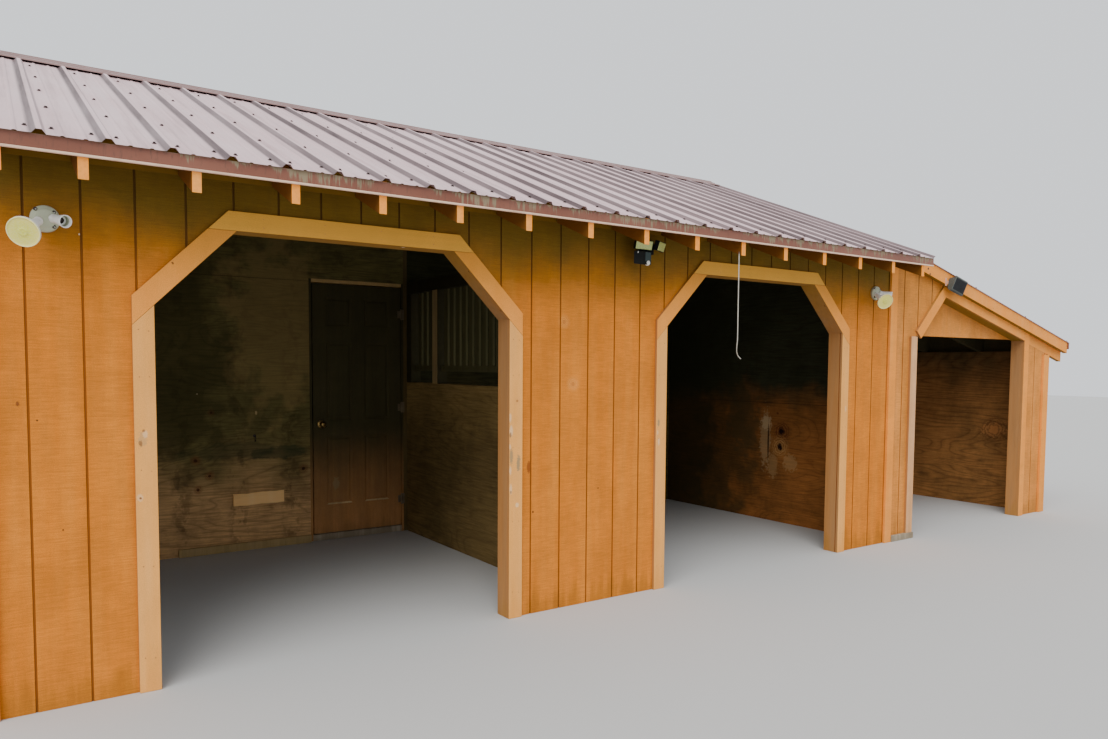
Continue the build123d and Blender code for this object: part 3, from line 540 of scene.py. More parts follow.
# The siding's olive third tone under the eave is painted shade and grime.
siding_paint = painted_timber(
    "siding_paint", (213, 123, 30), (220, 142, 56), (94, 80, 18), (9, 9, 1.1), **siding_look,
    marks=on_front(0, [
        (175, 1281, 5, 0.6, (110, 60, 30), 0.8), (240, 1212, 3, 1, (60, 34, 20), 0.9),
        (321, 752, 3, 1, (70, 40, 22), 0.9), (2637, 860, 12, 0.45, (120, 56, 22), 0.7),
        (3143, 697, 4, 1, (70, 40, 22), 0.9), (2666, 596, 5, 1, (80, 44, 22), 0.9),
        (408, 1979, 3, 1, (236, 216, 184), 1.0),
    ]),
    placed_knots=on_front(0, [
        (2878, 1700, 34, (230, 160, 84), (180, 104, 44), 0.6),
        (2947, 1335, 36, (228, 160, 88), (186, 110, 50), 0.6),
    ]),
)
end_siding_paint = painted_timber(
    "end_siding_paint", (213, 123, 30), (220, 142, 56), (130, 90, 30), (9, 9, 1.1), shade=0.0,
    **siding_look,
)
lean_siding_paint = painted_timber(
    "lean_siding_paint", (216, 136, 54), (222, 150, 78), (150, 104, 40), (9, 9, 1.1), fading=0.6, knots=0.1,
    shade=0.2, across=saw_lines, rough=0.16,
)
# Dark brown for the faces inside the grooves: painted shade.
groove_painted_shade = painted_timber(
    "groove_painted_shade", (150, 84, 26), (150, 88, 32), (74, 54, 14), (34, 34, 1.6), fading=0.5,
)
jamb_paint = painted_timber(
    "jamb_paint", (238, 166, 82), (238, 174, 100), (214, 140, 62), (26, 26, 1.0), fading=0.7, chips=0.03,
    knots=0.06, contrast=0.05, relief=0.25, rough=0.05,
    marks=on_front(trim_face, [
        (624, 1118, 15, 0.6, (186, 146, 100), 0.6), (636, 1140, 8, 0.6, pale_chip, 0.7),
        (617, 1100, 6, 0.6, (120, 78, 44), 0.7), (630, 1155, 5, 1, (130, 84, 50), 0.7),
        (611, 864, 10, 0.8, pale_chip, 0.6), (612, 862, 4, 1, (110, 66, 36), 0.9),
        (2553, 890, 15, (1.5, 1, 0.4), grey_lichen, 0.75), (2545, 651, 9, 0.8, pale_wood, 0.5),
        (2499, 1150, 6, 0.3, pale_chip, 0.8), (2504, 1075, 9, 0.35, pale_chip, 0.8),
        (2500, 1052, 5, 0.4, bare_brown, 0.7), (2497, 985, 5, 0.4, pale_chip, 0.8),
        (2506, 930, 9, 0.25, grey_lichen, 0.7), (2499, 850, 6, 0.3, pale_chip, 0.8),
        (2503, 745, 7, 0.3, pale_chip, 0.75), (2503, 728, 4, 0.6, bare_brown, 0.7),
        (3615, 1080, 7, 0.35, grey_lichen, 0.7), (3608, 1020, 5, 0.4, pale_chip, 0.7),
        (3618, 960, 7, 0.35, pale_chip, 0.8), (5550, 1120, 6, 0.35, pale_chip, 0.7),
    ]),
    placed_knots=on_front(trim_face, [(2542, 1244, 20, (214, 150, 84), (140, 80, 40), 0.6)]),
)
worn_jamb_paint = painted_timber(
    "worn_jamb_paint", (220, 164, 112), (224, 176, 132), (190, 136, 84), (26, 26, 1.0), fading=0.9,
    chips=0.4, shade=0.0, contrast=0.12, relief=0.4, rough=0.1,
)
chamfer_paint = painted_timber(
    "chamfer_paint", (238, 152, 62), (240, 162, 78), (190, 130, 40), (20, 20, 20), fading=0.5, chips=0.02,
    shade=0.8, contrast=0.04, relief=0.25, rough=0.04,
)
header_paint = painted_timber(
    "header_paint", (228, 160, 66), (228, 166, 78), (212, 154, 56), (1.2, 40, 40), fading=0.5, chips=0.02,
    contrast=0.05, relief=0.25, rough=0.04,
)
lean_trim_paint = painted_timber(
    "lean_trim_paint", (240, 150, 58), (240, 164, 84), (214, 140, 62), (3, 3, 14), fading=0.6, chips=0.03,
    knots=0.1, shade=0.0, contrast=0.07, relief=0.3, rough=0.06,
)
# Tail sides darker as painted shade, and their cut ends brighter as painted light on lit faces.
tail_side_painted_shade = painted_timber(
    "tail_side_painted_shade", (122, 74, 22), (134, 84, 30), (120, 78, 24), (30, 2.0, 30), fading=0.6, shade=0.2,
)
tail_end_painted_light = painted_timber(
    "tail_end_painted_light", (255, 158, 56), (250, 174, 92), (240, 150, 70), (60, 2.0, 60), fading=0.8, shade=0.0,
    contrast=0.14,
)
# Darker paint for wall ends, reveals and the narrow faces of trim boards: painted shade, with chips.
reveal_painted_shade = painted_timber(
    "reveal_painted_shade", (176, 120, 66), (166, 124, 82), (150, 108, 28), (40, 40, 2.0), fading=0.8, chips=0.04,
    shade=0.85, contrast=0.12,
)
# Dark olive for eave blocks and the lower faces of boards: painted shade under the roof.
soffit_painted_shade = painted_timber(
    "soffit_painted_shade", (140, 100, 24), (134, 98, 32), (104, 82, 14), (2, 30, 30), fading=0.5, shade=0.3,
)
rough_framing = painted_timber(
    "rough_framing", (62, 58, 36), (76, 68, 44), (36, 32, 18), (24, 2.5, 24), fading=0.6, knots=0.2,
    contrast=0.2, shade=0.5,
)
post_wood = painted_timber(
    "post_wood", (178, 152, 104), (168, 144, 102), (126, 108, 70), (24, 24, 2.5), fading=0.6, knots=0.2,
    contrast=0.2, shade=0.2,
)
grille_wood = painted_timber(
    "grille_wood", (92, 88, 56), (100, 94, 62), (60, 58, 38), (22, 22, 1.6), fading=0.7, knots=0.1,
    contrast=0.2, shade=0.2,
)
foot_wood = painted_timber(
    "foot_wood", (172, 156, 130), (186, 172, 150), (90, 78, 60), (2.0, 30, 30), fading=0.8, splash=0.5,
)
# Pale bare wood, made brighter still as a painted highlight on the board.
bare_board_with_highlight = painted_timber(
    "bare_board_with_highlight", (255, 204, 136), (255, 214, 154), (214, 164, 108), (2.0, 30, 30), fading=0.8, shade=0.0,
    splash=0.0, contrast=0.08,
)
# Lighter low down and darker above, with a large dark patch at upper left and a pale one at upper right:
# painted shade and light on the lining, over its stains and knots.
brown_ply = plywood(
    "brown_ply", (204, 162, 112), (116, 106, 62), (62, 48, 26), (0.5, 0.5, 2.6), figure=0.26, rings=30.0,
    change=(0.3, 0.95), first_stud=814.6,
    marks=on_front(door_wall, [
        (1050, 1450, 420, 0.6, (64, 58, 32), 0.6), (1960, 1750, 330, 0.6, (170, 140, 88), 0.35),
        (1766, 1062, 7, 0.6, (206, 176, 124), 0.7), (1339, 1215, 4, 1, pale_wood, 0.5),
        (1560, 770, 300, 6, (52, 60, 38), 0.4), (1930, 742, 190, 5, (44, 56, 38), 0.6),
        (1375, 2104, 3, (0.004, 1, 1), (40, 30, 18), 0.5),
    ]),
    placed_knots=on_front(door_wall, [
        (1321, 716, 32, (120, 62, 34), (60, 26, 18), 0.8),
        (1417, 594, 30, (120, 62, 34), (60, 26, 18), 0.8),
        (1335, 495, 28, (110, 58, 34), (60, 28, 18), 0.8),
        (2131, 603, 34, (100, 60, 34), (50, 26, 18), 0.9),
        (1435, 1073, 24, (100, 60, 34), (60, 30, 18), 0.7),
    ]),
)
knotty_ply = plywood(
    "knotty_ply", (158, 100, 50), (64, 64, 44), (60, 34, 16), (0.9, 0.6, 3.0), figure=0.22, rings=24.0,
    change=(0.95, 1.3),
    marks=on_end(right_wall_inside, [
        # The two wide dark marks towards the back are painted shade in the bay's rear corner.
        (2400, 780, 400, 0.5, (44, 48, 30), 0.6), (2150, 780, 620, 0.5, (54, 54, 32), 0.58),
        (1500, 900, 170, 0.7, (84, 70, 42), 0.6), (1222, 760, 50, 0.24, (190, 160, 116), 0.45),
        (1212, 915, 46, 0.8, (210, 182, 138), 0.5), (930, 560, 50, (1, 0.8, 0.8), (196, 156, 104), 0.4),
        (1130, 520, 46, 0.5, (180, 146, 98), 0.4), (900, 1104, 3, (1, 0.003, 1), (70, 48, 28), 0.6),
        (1543, 1104, 3, (1, 0.004, 1), (70, 48, 28), 0.5), (1187, 735, 7, 0.05, (36, 20, 12), 0.9),
    ]),
    placed_knots=on_end(right_wall_inside, [
        (1036, 843, 84, (96, 50, 26), (34, 14, 10), 1.0),
        (1053, 700, 80, (190, 140, 84), (34, 16, 10), 1.0),
        (1084, 1009, 30, (150, 96, 50), (90, 50, 26), 0.8),
    ]),
)
partition_ply = plywood(
    "partition_ply", (124, 102, 62), (160, 132, 80), (46, 32, 18), (0.8, 0.6, 3.6), figure=0.2, rings=18.0,
    dirt=0.4, change=(0.8, 1.2),
)
lean_ply = plywood(
    "lean_ply", (158, 110, 62), (78, 66, 42), (84, 52, 28), (0.28, 0.28, 1.7), figure=0.36, rings=38.0,
    change=(1.15, 1.75),
    marks=on_end(lean_wall_inside, [(433, 795, 60, (1, 0.6, 1), (190, 130, 76), 0.5)]),
    placed_knots=on_end(lean_wall_inside, [(433, 795, 120, (86, 50, 26), (170, 112, 62), 0.7)]),
)
dark_ply = plywood(
    "dark_ply", (104, 90, 50), (56, 56, 34), (40, 32, 18), (0.6, 0.6, 3.4), figure=0.3, rings=20.0,
    dirt=0.6, change=(0.6, 1.5),
)
# Darker and greener above the foot: painted shade on the door and its side jambs.
door_brown = painted_timber(
    "door_brown", (186, 132, 80), (176, 130, 84), (64, 62, 38), (26, 26, 1.6), fading=0.6, shade=0.97,
    contrast=0.16, rough=0.1, shaded=(0.05, 0.98),
    marks=on_front(door_wall, [(2400, 460, 24, 0.6, (146, 128, 92), 0.6)]),
)
door_pale = painted_timber(
    "door_pale", (206, 170, 112), (190, 156, 104), (170, 138, 84), (30, 30, 3), fading=0.7, shade=0.2,
)
# Pale finish for the lower sloped face of the lowest panels' mouldings: a painted highlight.
door_edge_highlight = painted_timber(
    "door_edge_highlight", (206, 178, 130), (176, 148, 104), (130, 108, 72), (30, 30, 3), fading=0.7, shade=0.2,
    contrast=0.2, rough=0.2,
)
casing_brown = painted_timber(
    "casing_brown", (104, 86, 50), (104, 88, 56), (66, 58, 34), (30, 30, 2), fading=0.7, shade=0.3,
    contrast=0.15, rough=0.15,
)

# Painted steel, plastics and metals
# Roof tones (paint, dust, dirt): the brown paint lightened to mauve by a painted reflection of the pale sky.
roof_tones_and_reflection = ((204, 174, 176), (218, 195, 196), (142, 116, 118))
rib_pitch = 228.6
first_rib = 32.15
first_lean_rib = -22.4
roof_paint_and_reflection = sheet_paint(
    "roof_paint_and_reflection", *roof_tones_and_reflection, (14, 0.7, 0.7), ribs=((1, 0, 0), spot(first_rib, 0, 0).x),
)
lean_roof_paint_and_reflection = sheet_paint(
    "lean_roof_paint_and_reflection", *roof_tones_and_reflection, (0.7, 14, 0.7), ribs=((0, 1, 0), spot(0, first_lean_rib, 0).y),
)
cap_paint = sheet_paint("cap_paint", (132, 102, 98), (150, 120, 116), (88, 64, 60), (5, 5, 5), streaks=0.4)
# Cream finish for the eave trim's lower hem: a painted highlight along it.
lip_painted_highlight = sheet_paint("lip_painted_highlight", (232, 196, 168), (238, 208, 186), (160, 118, 92), (6, 6, 6), 0.5)
screw_steel = plain_part("screw_steel", (70, 58, 56), (50, 38, 34), 0.45, 0.5, 200.0)
nail_steel = plain_part("nail_steel", (196, 130, 70), (140, 84, 40), 0.6, 0.2, 200.0)
bright_steel = plain_part("bright_steel", (176, 176, 168), (130, 130, 122), 0.35, 0.8, 200.0)
lamp_metal = plain_part("lamp_metal", (186, 190, 164), (164, 170, 142), 0.55, 0.1)
lamp_plastic = plain_part("lamp_plastic", (242, 242, 238), (226, 226, 214), 0.45, scale=70.0)
bulb_rim = plain_part("bulb_rim", (255, 248, 176), (250, 240, 170), 0.3, scale=70.0)
black_plastic = plain_part("black_plastic", (12, 14, 12), (26, 27, 24), 0.6, scale=120.0, shine=0.15)
teal_plastic = plain_part("teal_plastic", (30, 50, 48), (44, 62, 58), 0.55, scale=120.0)
grey_plastic = plain_part("grey_plastic", (66, 72, 68), (88, 92, 86), 0.55, scale=80.0)
dusty_plastic = plain_part("dusty_plastic", (168, 166, 160), (140, 138, 132), 0.6)
bracket_paint = plain_part("bracket_paint", (226, 170, 140), (200, 140, 110), 0.6)
hinge_steel = plain_part("hinge_steel", (126, 112, 88), (96, 74, 50), 0.5, 0.6, 120.0)
knob_brass = plain_part("knob_brass", (150, 122, 70), (96, 76, 44), 0.32, 0.85)
hook_wire = plain_part("hook_wire", (120, 112, 100), (92, 60, 38), 0.45, 0.8, 300.0)
dome_lens = plain_part("dome_lens", (232, 230, 220), (208, 206, 196), 0.3, scale=90.0)
dark_glass = plain_part("dark_glass", (14, 14, 18), (22, 22, 28), 0.5, 0.0, 40.0, 0.6, 0.02, shine=0.2)


def make_eave_paint():
    """The brown eave trim, with grey-green lichen dripping from its top edge."""
    material, tree, shader, place = new_finish("eave_paint")
    colour = mixed(tree, place.clouds(3.0, 4.0, 0.6).ranged(0.35, 0.7), (122, 70, 50), (136, 84, 64))
    drop = spot(0, 0, 2292).z - place.part(2)
    fingers = (place * (56, 1, 1)).clouds(1.0, 4.0, 0.85).ranged(0.44, 0.66)
    patches = (place * (6.5, 0.6, 0.6)).clouds(1.0, 3.0, 0.6).ranged(0.41, 0.57)
    start = place.part(0).ranged(spot(620, 0, 0).x, spot(760, 0, 0).x)
    lichen = (fingers * patches * 0.09 * start - drop).ranged(-0.004, 0.006)
    colour = colour.under((146, 138, 110), lichen * 0.75)
    dark = (place * (120, 4, 30)).clouds(1.0, 3.0).ranged(0.55, 0.75, 0.0, 0.5)
    colour.under((84, 58, 44), dark).to(shader["Base Color"])
    lichen.ranged(0.0, 1.0, 0.45, 0.9).to(shader["Roughness"])
    bump(shader, lichen + place.clouds(220.0), 0.25, 0.001)
    return material


def make_lens(name, middle, rim):
    """Stippled lamp glass, brighter at its rim; the mesh says how far across each point is."""
    material, tree, shader, place = new_finish(name)
    across = put(tree, "ShaderNodeAttribute", {}, "Fac", attribute_name="across")
    cells = place.cells(170.0)
    colour = mixed(tree, across.ranged(0.25, 0.95), middle, rim)
    colour.under((240, 240, 215), cells.ranged(0.1, 0.6, 0.25, 0.0)).to(shader["Base Color"])
    shader["Roughness"].default_value = 0.24
    shader["Coat Weight"].default_value = 0.3
    bump(shader, cells, 0.35, 0.002)
    return material


def make_cord_cotton():
    """Braided cotton cord."""
    material, tree, shader, place = new_finish("cord_cotton")
    sockets = {"Vector": place, "Scale": 90.0, "Distortion": 2.0, "Detail": 2.0}
    braid = put(tree, "ShaderNodeTexWave", sockets, "Fac", bands_direction="DIAGONAL")
    colour = mixed(tree, braid, (168, 164, 150), (214, 210, 198))
    colour.under((120, 112, 96), place.clouds(9.0).ranged(0.5, 0.7, 0.0, 0.5)).to(shader["Base Color"])
    shader["Roughness"].default_value = 0.9
    bump(shader, braid, 0.5, 0.0008)
    return material


eave_paint = make_eave_paint()
flood_lens = make_lens("flood_lens", (230, 226, 92), (244, 232, 116))
panel_lens = make_lens("panel_lens", (176, 186, 98), (200, 200, 130))
cord_cotton = make_cord_cotton()


# Mesh helpers
def mesh_object(name, form):
    """A new object in the scene with what a form holds."""
    mesh = bpy.data.meshes.new(name)
    form.to_mesh(mesh)
    form.free()
    made = bpy.data.objects.new(name, mesh)
    scene.collection.objects.link(made)
    return made


def settled(made, stands_for=(), body="building"):
    """Rides an object on its body, and hides the imported nodes that it stands for."""
    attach(made, body)
    if stands_for:
        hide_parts(*stands_for)


def piece(name, form, materials, stands_for=(), body="building"):
    """A finished piece from mesh work."""
    bmesh.ops.recalc_face_normals(form, faces=form.faces)
    made = mesh_object(name, form)
    for material in materials:
        made.data.materials.append(material)
    settled(made, stands_for, body)


def shaped(made):
    """Puts what an object's modifiers make in place of its mesh."""
    mesh = bpy.data.meshes.new_from_object(made.evaluated_get(bpy.context.evaluated_depsgraph_get()))
    made.modifiers.clear()
    made.data = mesh
    return mesh


def whole_form(node):
    """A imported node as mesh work, with its doubles merged and its flat faces made whole."""
    form = bmesh.new()
    form.from_mesh(nodes[node].data)
    bmesh.ops.remove_doubles(form, verts=form.verts, dist=1e-5)
    bmesh.ops.dissolve_limit(form, angle_limit=math.radians(0.5), verts=form.verts, edges=form.edges)
    return form


def ease_edges(form, width, segments=2):
    """Rounds the sharp edges."""
    sharp = [e for e in form.edges if len(e.link_faces) == 2 and e.calc_face_angle(0) > math.radians(25)]
    bmesh.ops.bevel(
        form, geom=sharp, offset=width / 1000, offset_type="OFFSET", segments=segments, profile=0.6,
        affect="EDGES", clamp_overlap=True,
    )


def open_joints(form, gap):
    """Draws each board's ends in a little, so that a joint shows where two boards meet."""
    seen = set()
    for start in form.verts:
        if start in seen:
            continue
        board, waiting = {start}, [start]
        while waiting:
            for edge in waiting.pop().link_edges:
                for vert in edge.verts:
                    if vert not in board:
                        board.add(vert)
                        waiting.append(vert)
        seen |= board
        longest = max({e for v in board for e in v.link_edges}, key=lambda e: e.calc_length())
        along = (longest.verts[1].co - longest.verts[0].co).normalized()
        drawn = {}
        for face in {f for v in board for f in v.link_faces}:
            facing = face.normal.dot(along)
            if abs(facing) > 0.3 and face.calc_center_median().z > cad_low.z + 0.1:
                drawn.update({vert: -math.copysign(gap / 1000, facing) for vert in face.verts})
        for vert, shift in drawn.items():
            vert.co += along * shift


def eased(node, width, material, slot, others=(), rule=None, cuts=(), joints=0.0):
    """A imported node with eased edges; rule gives a face's finish from its middle and normal."""
    form = whole_form(node)
    if joints:
        open_joints(form, joints)
    ease_edges(form, width)
    for point, way in cuts:
        every = form.verts[:] + form.edges[:] + form.faces[:]
        bmesh.ops.bisect_plane(form, geom=every, plane_co=point, plane_no=way, dist=1e-6)
    if rule:
        for face in form.faces:
            face.material_index = rule(face.calc_center_median(), face.normal)
    piece(f"{node}_eased", form, [material, *others], [node])


def skin(form, loops, smooth=False):
    """A closed skin over loops of points, one after another, with both ends capped."""
    rings = [[form.verts.new(point) for point in loop] for loop in loops]
    for low, high in zip(rings, rings[1:]):
        for i in range(len(low)):
            k = (i + 1) % len(low)
            form.faces.new((low[i], low[k], high[k], high[i])).smooth = smooth
    form.faces.new(list(reversed(rings[0])))
    form.faces.new(rings[-1])


def box_in(form, low, high, turn=Matrix.Identity(4)):
    """A box between two points, turned by a matrix."""
    size = Vector(high) - Vector(low)
    fit = Matrix.Translation((Vector(high) + Vector(low)) / 2) @ Matrix.Diagonal((*size, 1))
    bmesh.ops.create_cube(form, size=1.0, matrix=turn @ fit)


def block(form, front, back, ease, finish=0):
    """A block between a front and a back outline of points, its edges eased."""
    part = bmesh.new()
    skin(part, (front, back))
    bmesh.ops.recalc_face_normals(part, faces=part.faces)
    ease_edges(part, ease, 3)
    for face in part.faces:
        face.material_index = finish
    mesh = bpy.data.meshes.new("block")
    part.to_mesh(mesh)
    part.free()
    form.from_mesh(mesh)
    bpy.data.meshes.remove(mesh)


def slab(form, face, thickness, ease, finish=0, inset=0.0, proud=0.0):
    """A flat block behind four front corners (top left, top right, bottom right, bottom left)."""
    corners = [spot(*corner) for corner in face]
    across, down = (corners[1] - corners[0]).normalized(), (corners[3] - corners[0]).normalized()
    way = across.cross(down).normalized()
    if way.y > 0:
        way = -way
    moves = ((1, 1), (-1, 1), (-1, -1), (1, -1))
    front = []
    for corner, (a, b) in zip(corners, moves):
        front.append(corner + (across * a * inset + down * b * inset + way * proud) / 1000)
    block(form, front, [corner - way * thickness / 1000 for corner in front], ease, finish)


def turned(form, rings, start, direction, sides=40, finish=0):
    """A lathe shape along a direction; a ring is how far along and its radius in millimetres, 0 to close."""
    turn = Matrix.Translation(start) @ Vector(direction).to_track_quat("Z", "Y").to_matrix().to_4x4()
    across = form.verts.layers.float.get("across") or form.verts.layers.float.new("across")
    widest = max(radius for _, radius in rings)
    loops = []
    for along, radius in rings:
        loop = []
        for i in range(sides if radius else 1):
            angle = math.tau * i / sides
            point = Vector((radius * math.cos(angle), radius * math.sin(angle), along)) / 1000
            vert = form.verts.new(turn @ point)
            vert[across] = radius / widest
            loop.append(vert)
        loops.append(loop)
    for low, high in zip(loops, loops[1:]):
        for i in range(sides):
            k = i + 1
            corners = [low[i % len(low)], low[k % len(low)], high[k % len(high)], high[i % len(high)]]
            corners = list(dict.fromkeys(corners))
            if len(corners) > 2:
                face = form.faces.new(corners)
                face.material_index = finish
                face.smooth = True


def tube(form, path, radius, sides=12):
    """A round bar along points, closed at both ends."""
    angles = [math.tau * k / sides for k in range(sides)]
    circle = [Vector((math.cos(angle), math.sin(angle), 0)) for angle in angles]
    loops = []
    for i, point in enumerate(path):
        ahead = path[min(i + 1, len(path) - 1)] - path[max(i - 1, 0)]
        turn = ahead.to_track_quat("Z", "Y").to_matrix()
        loops.append([point + turn @ (way * radius) for way in circle])
    skin(form, loops, smooth=True)


# Grooved walls
groove_pitch = 203.2
groove_half = 4.6
groove_depth = 5.5
groove_lip = 1.2
groove_top = 3400


def groove_cutters(lines, face, inward, axis):
    """Upright bars that cut grooves with eased lips into a wall along an axis, inward from its face."""
    half_outline = [(-2, groove_half + 2.4), (groove_lip, groove_half), (groove_depth, groove_half - 0.3)]
    form = bmesh.new()
    for line in lines:
        plan = [(line - half, face + inward * deep) for deep, half in half_outline]
        plan += [(line + half, face + inward * deep) for deep, half in reversed(half_outline)]
        foot = [spot(a, b, -20) if axis == 0 else spot(b, a, -20) for a, b in plan]
        skin(form, (foot, [point + Vector((0, 0, groove_top / 1000)) for point in foot]))
    bmesh.ops.recalc_face_normals(form, faces=form.faces)
    return mesh_object("groove_cutters", form)


def grooved_wall(node, lines, face, inward, axis, paint, lining):
    """A wall with its grooves cut into it; its finishes are for face, grooves, inner side and ends, and the
    grooves and ends take painted shade.
    """
    wall = mesh_object(f"{node}_grooved", whole_form(node))
    cutter = groove_cutters(lines, face, inward, axis)
    cut = wall.modifiers.new("grooves", "BOOLEAN")
    cut.operation = "DIFFERENCE"
    cut.solver = "EXACT"
    cut.object = cutter
    mesh = shaped(wall)
    bpy.data.objects.remove(cutter)
    mesh.materials.clear()
    for material in (paint, groove_painted_shade, lining, reveal_painted_shade):
        mesh.materials.append(material)
    across = 1 - axis
    place = spot(face, face, 0)[across]
    for polygon in mesh.polygons:
        outward = polygon.normal[across] * -inward
        depth = (polygon.center[across] - place) * inward * 1000
        if outward > 0.3 and depth < groove_lip:
            polygon.material_index = 0
        elif outward > 0.7 or (depth < groove_depth + 1 and abs(outward) < 0.5):
            polygon.material_index = 1
        else:
            polygon.material_index = 2 if outward < -0.7 else 3
    settled(wall, [node])


def lines_from(first, last):
    """Places of grooves from the first up to the last."""
    return [first + i * groove_pitch for i in range(int((last - first) / groove_pitch) + 1)]


front_lines = lines_from(7.6, main_length)
pier_lines = [x for x in front_lines if 60 < x < main_length - 20]
lean_lines = lines_from(6322, lean_end)
depth_lines = lines_from(105, main_depth)
for node, lines, face, inward, axis, paint, lining in (
    ("front_wall_piers", pier_lines, 0, 1, 0, siding_paint, brown_ply),
    ("front_wall_heads", front_lines, 0, 1, 0, siding_paint, brown_ply),
    ("lean_front_piers", lean_lines, 0, 1, 0, lean_siding_paint, lean_ply),
    ("back_wall", front_lines, main_depth, -1, 0, siding_paint, brown_ply),
    ("lean_back_wall", lean_lines, main_depth, -1, 0, lean_siding_paint, lean_ply),
    ("left_end_wall", depth_lines, 0, 1, 1, end_siding_paint, brown_ply),
    ("right_end_wall", depth_lines, main_length, -1, 1, end_siding_paint, knotty_ply),
    ("lean_side_wall", depth_lines, lean_end, -1, 1, end_siding_paint, lean_ply),
):
    grooved_wall(node, lines, face, inward, axis, paint, lining)


# Repeated parts by geometry nodes
def finish_tree(tree, geometry, finish, give):
    """The last nodes of a tree: its instances made real and their material set."""
    real = put(tree, "GeometryNodeRealizeInstances", {0: geometry})
    put(tree, "GeometryNodeSetMaterial", {"Geometry": real, "Material": finish}).to(give["Geometry"])
    return tree


def make_fastener_tree():
    """A screw or nail head with its washer on every point, turned to face as the point says."""
    tree, given, give = group_of(
        "GeometryNodeTree", "fasteners", {"Geometry": GEOMETRY}, Geometry=GEOMETRY, Head_radius=0.004,
        Head_height=0.004, Head_sides=6, Washer_radius=0.007, Washer_height=0.001, Size_change=0.08, Seed=3,
        Finish=MATERIAL,
    )
    washer, head = (
        put(tree, "GeometryNodeMeshCylinder", {"Vertices": sides, "Radius": radius, "Depth": height}, "Mesh")
        for sides, radius, height in (
            (12, given.Washer_radius, given.Washer_height),
            (given.Head_sides, given.Head_radius, given.Head_height),
        )
    )
    lift = put(tree, "ShaderNodeCombineXYZ", {"Z": given.Head_height * 0.5})
    both = put(tree, "GeometryNodeJoinGeometry", {0: washer})
    put(tree, "GeometryNodeTransform", {"Geometry": head, "Translation": lift}).to(both.socket.node.inputs[0])
    normal = put(tree, "GeometryNodeInputNamedAttribute", {"Name": "facing"}, data_type="FLOAT_VECTOR")
    upright = put(tree, "FunctionNodeAlignRotationToVector", {"Vector": normal}, axis="Z")
    spin, size = (
        put(tree, "FunctionNodeRandomValue", {2: least, 3: most, "Seed": given.Seed}, 1, data_type="FLOAT")
        for least, most in ((0.0, math.tau), (1.0 - given.Size_change, given.Size_change + 1.0))
    )
    spun = put(tree, "FunctionNodeEulerToRotation", {0: put(tree, "ShaderNodeCombineXYZ", {"Z": spin})})
    turn = put(tree, "FunctionNodeRotateRotation", {0: upright, 1: spun}, rotation_space="LOCAL")
    sockets = {"Points": given.Geometry, "Instance": both, "Rotation": turn, "Scale": size}
    return finish_tree(tree, put(tree, "GeometryNodeInstanceOnPoints", sockets), given.Finish, give)


def make_ribbed_sheet_tree():
    """A ribbed roof sheet: tall ribs at a pitch, two low lines between them, a slightly uneven pan."""
    tree, given, give = group_of(
        "GeometryNodeTree", "ribbed_sheet", {"Geometry": GEOMETRY}, Geometry=GEOMETRY, Width=6.0,
        Length=2.5, Columns=1000, Rows=10, Pitch=0.2286, First_rib=0.057, Rib_height=0.017, Rib_foot=0.0476,
        Rib_top=0.019, Line_height=0.0035, Line_width=0.019, Unevenness=0.001, Finish=MATERIAL,
    )
    sockets = {"Size X": given.Width, "Size Y": given.Length}
    sockets |= {"Vertices X": given.Columns, "Vertices Y": given.Rows}
    grid = put(tree, "GeometryNodeMeshGrid", sockets, "Mesh")
    place = put(tree, "GeometryNodeInputPosition", {})
    along, half = wrapped(place.part(0) + given.Width * 0.5, given.First_rib, given.Pitch)
    away = (along - half).sum("ABSOLUTE")
    rib = away.ranged(given.Rib_foot * 0.5, given.Rib_top * 0.5, 0.0, given.Rib_height)
    from_line = (away - given.Pitch / 3.0).sum("ABSOLUTE")
    line = from_line.ranged(given.Line_width * 0.5, given.Line_width * 0.2, 0.0, given.Line_height)
    uneven = place.clouds(2.3, 2.0, 0.5) * given.Unevenness
    offset = put(tree, "ShaderNodeCombineXYZ", {"Z": rib + line + uneven})
    sheet = put(tree, "GeometryNodeSetPosition", {"Geometry": grid, "Offset": offset})
    return finish_tree(tree, sheet, given.Finish, give)


fastener_tree = make_fastener_tree()
ribbed_sheet_tree = make_ribbed_sheet_tree()


def grown(name, base_mesh, tree, material, thickness=None, **inputs):
    """What a geometry nodes tree makes of a mesh, as a plain mesh."""
    made = bpy.data.objects.new(name, base_mesh)
    scene.collection.objects.link(made)
    modifier = made.modifiers.new("shape", "NODES")
    modifier.node_group = tree
    sockets = {item.name: item.identifier for item in tree.interface.items_tree if item.in_out == "INPUT"}
    for label, value in {**inputs, "Finish": material}.items():
        modifier[sockets[label.replace("_", " ")]] = value
    if thickness:
        solid = made.modifiers.new("thickness", "SOLIDIFY")
        solid.thickness = thickness
        solid.offset = 1.0
    mesh = shaped(made)
    if not mesh.materials:
        mesh.materials.append(material)
    return made


def fasteners(name, places, material, slot, **inputs):
    """Screw or nail heads at places, each a point and the way that it faces."""
    mesh = bpy.data.meshes.new(name)
    mesh.from_pydata([point for point, _ in places], [], [])
    facing_way = mesh.attributes.new("facing", "FLOAT_VECTOR", "POINT")
    facing_way.data.foreach_set("vector", [c for _, way in places for c in way])
    settled(grown(name, mesh, fastener_tree, material, **inputs))


# Roof sheets
step = rib_pitch / 48 / 1000
sheet_thickness = 0.0012
sheet_gap = 0.0004
main_columns = 1307
main_run = 2410
lean_columns = 911
lean_run = 2923
rib_start = 12 * step
lean_rib_start = 10 * step


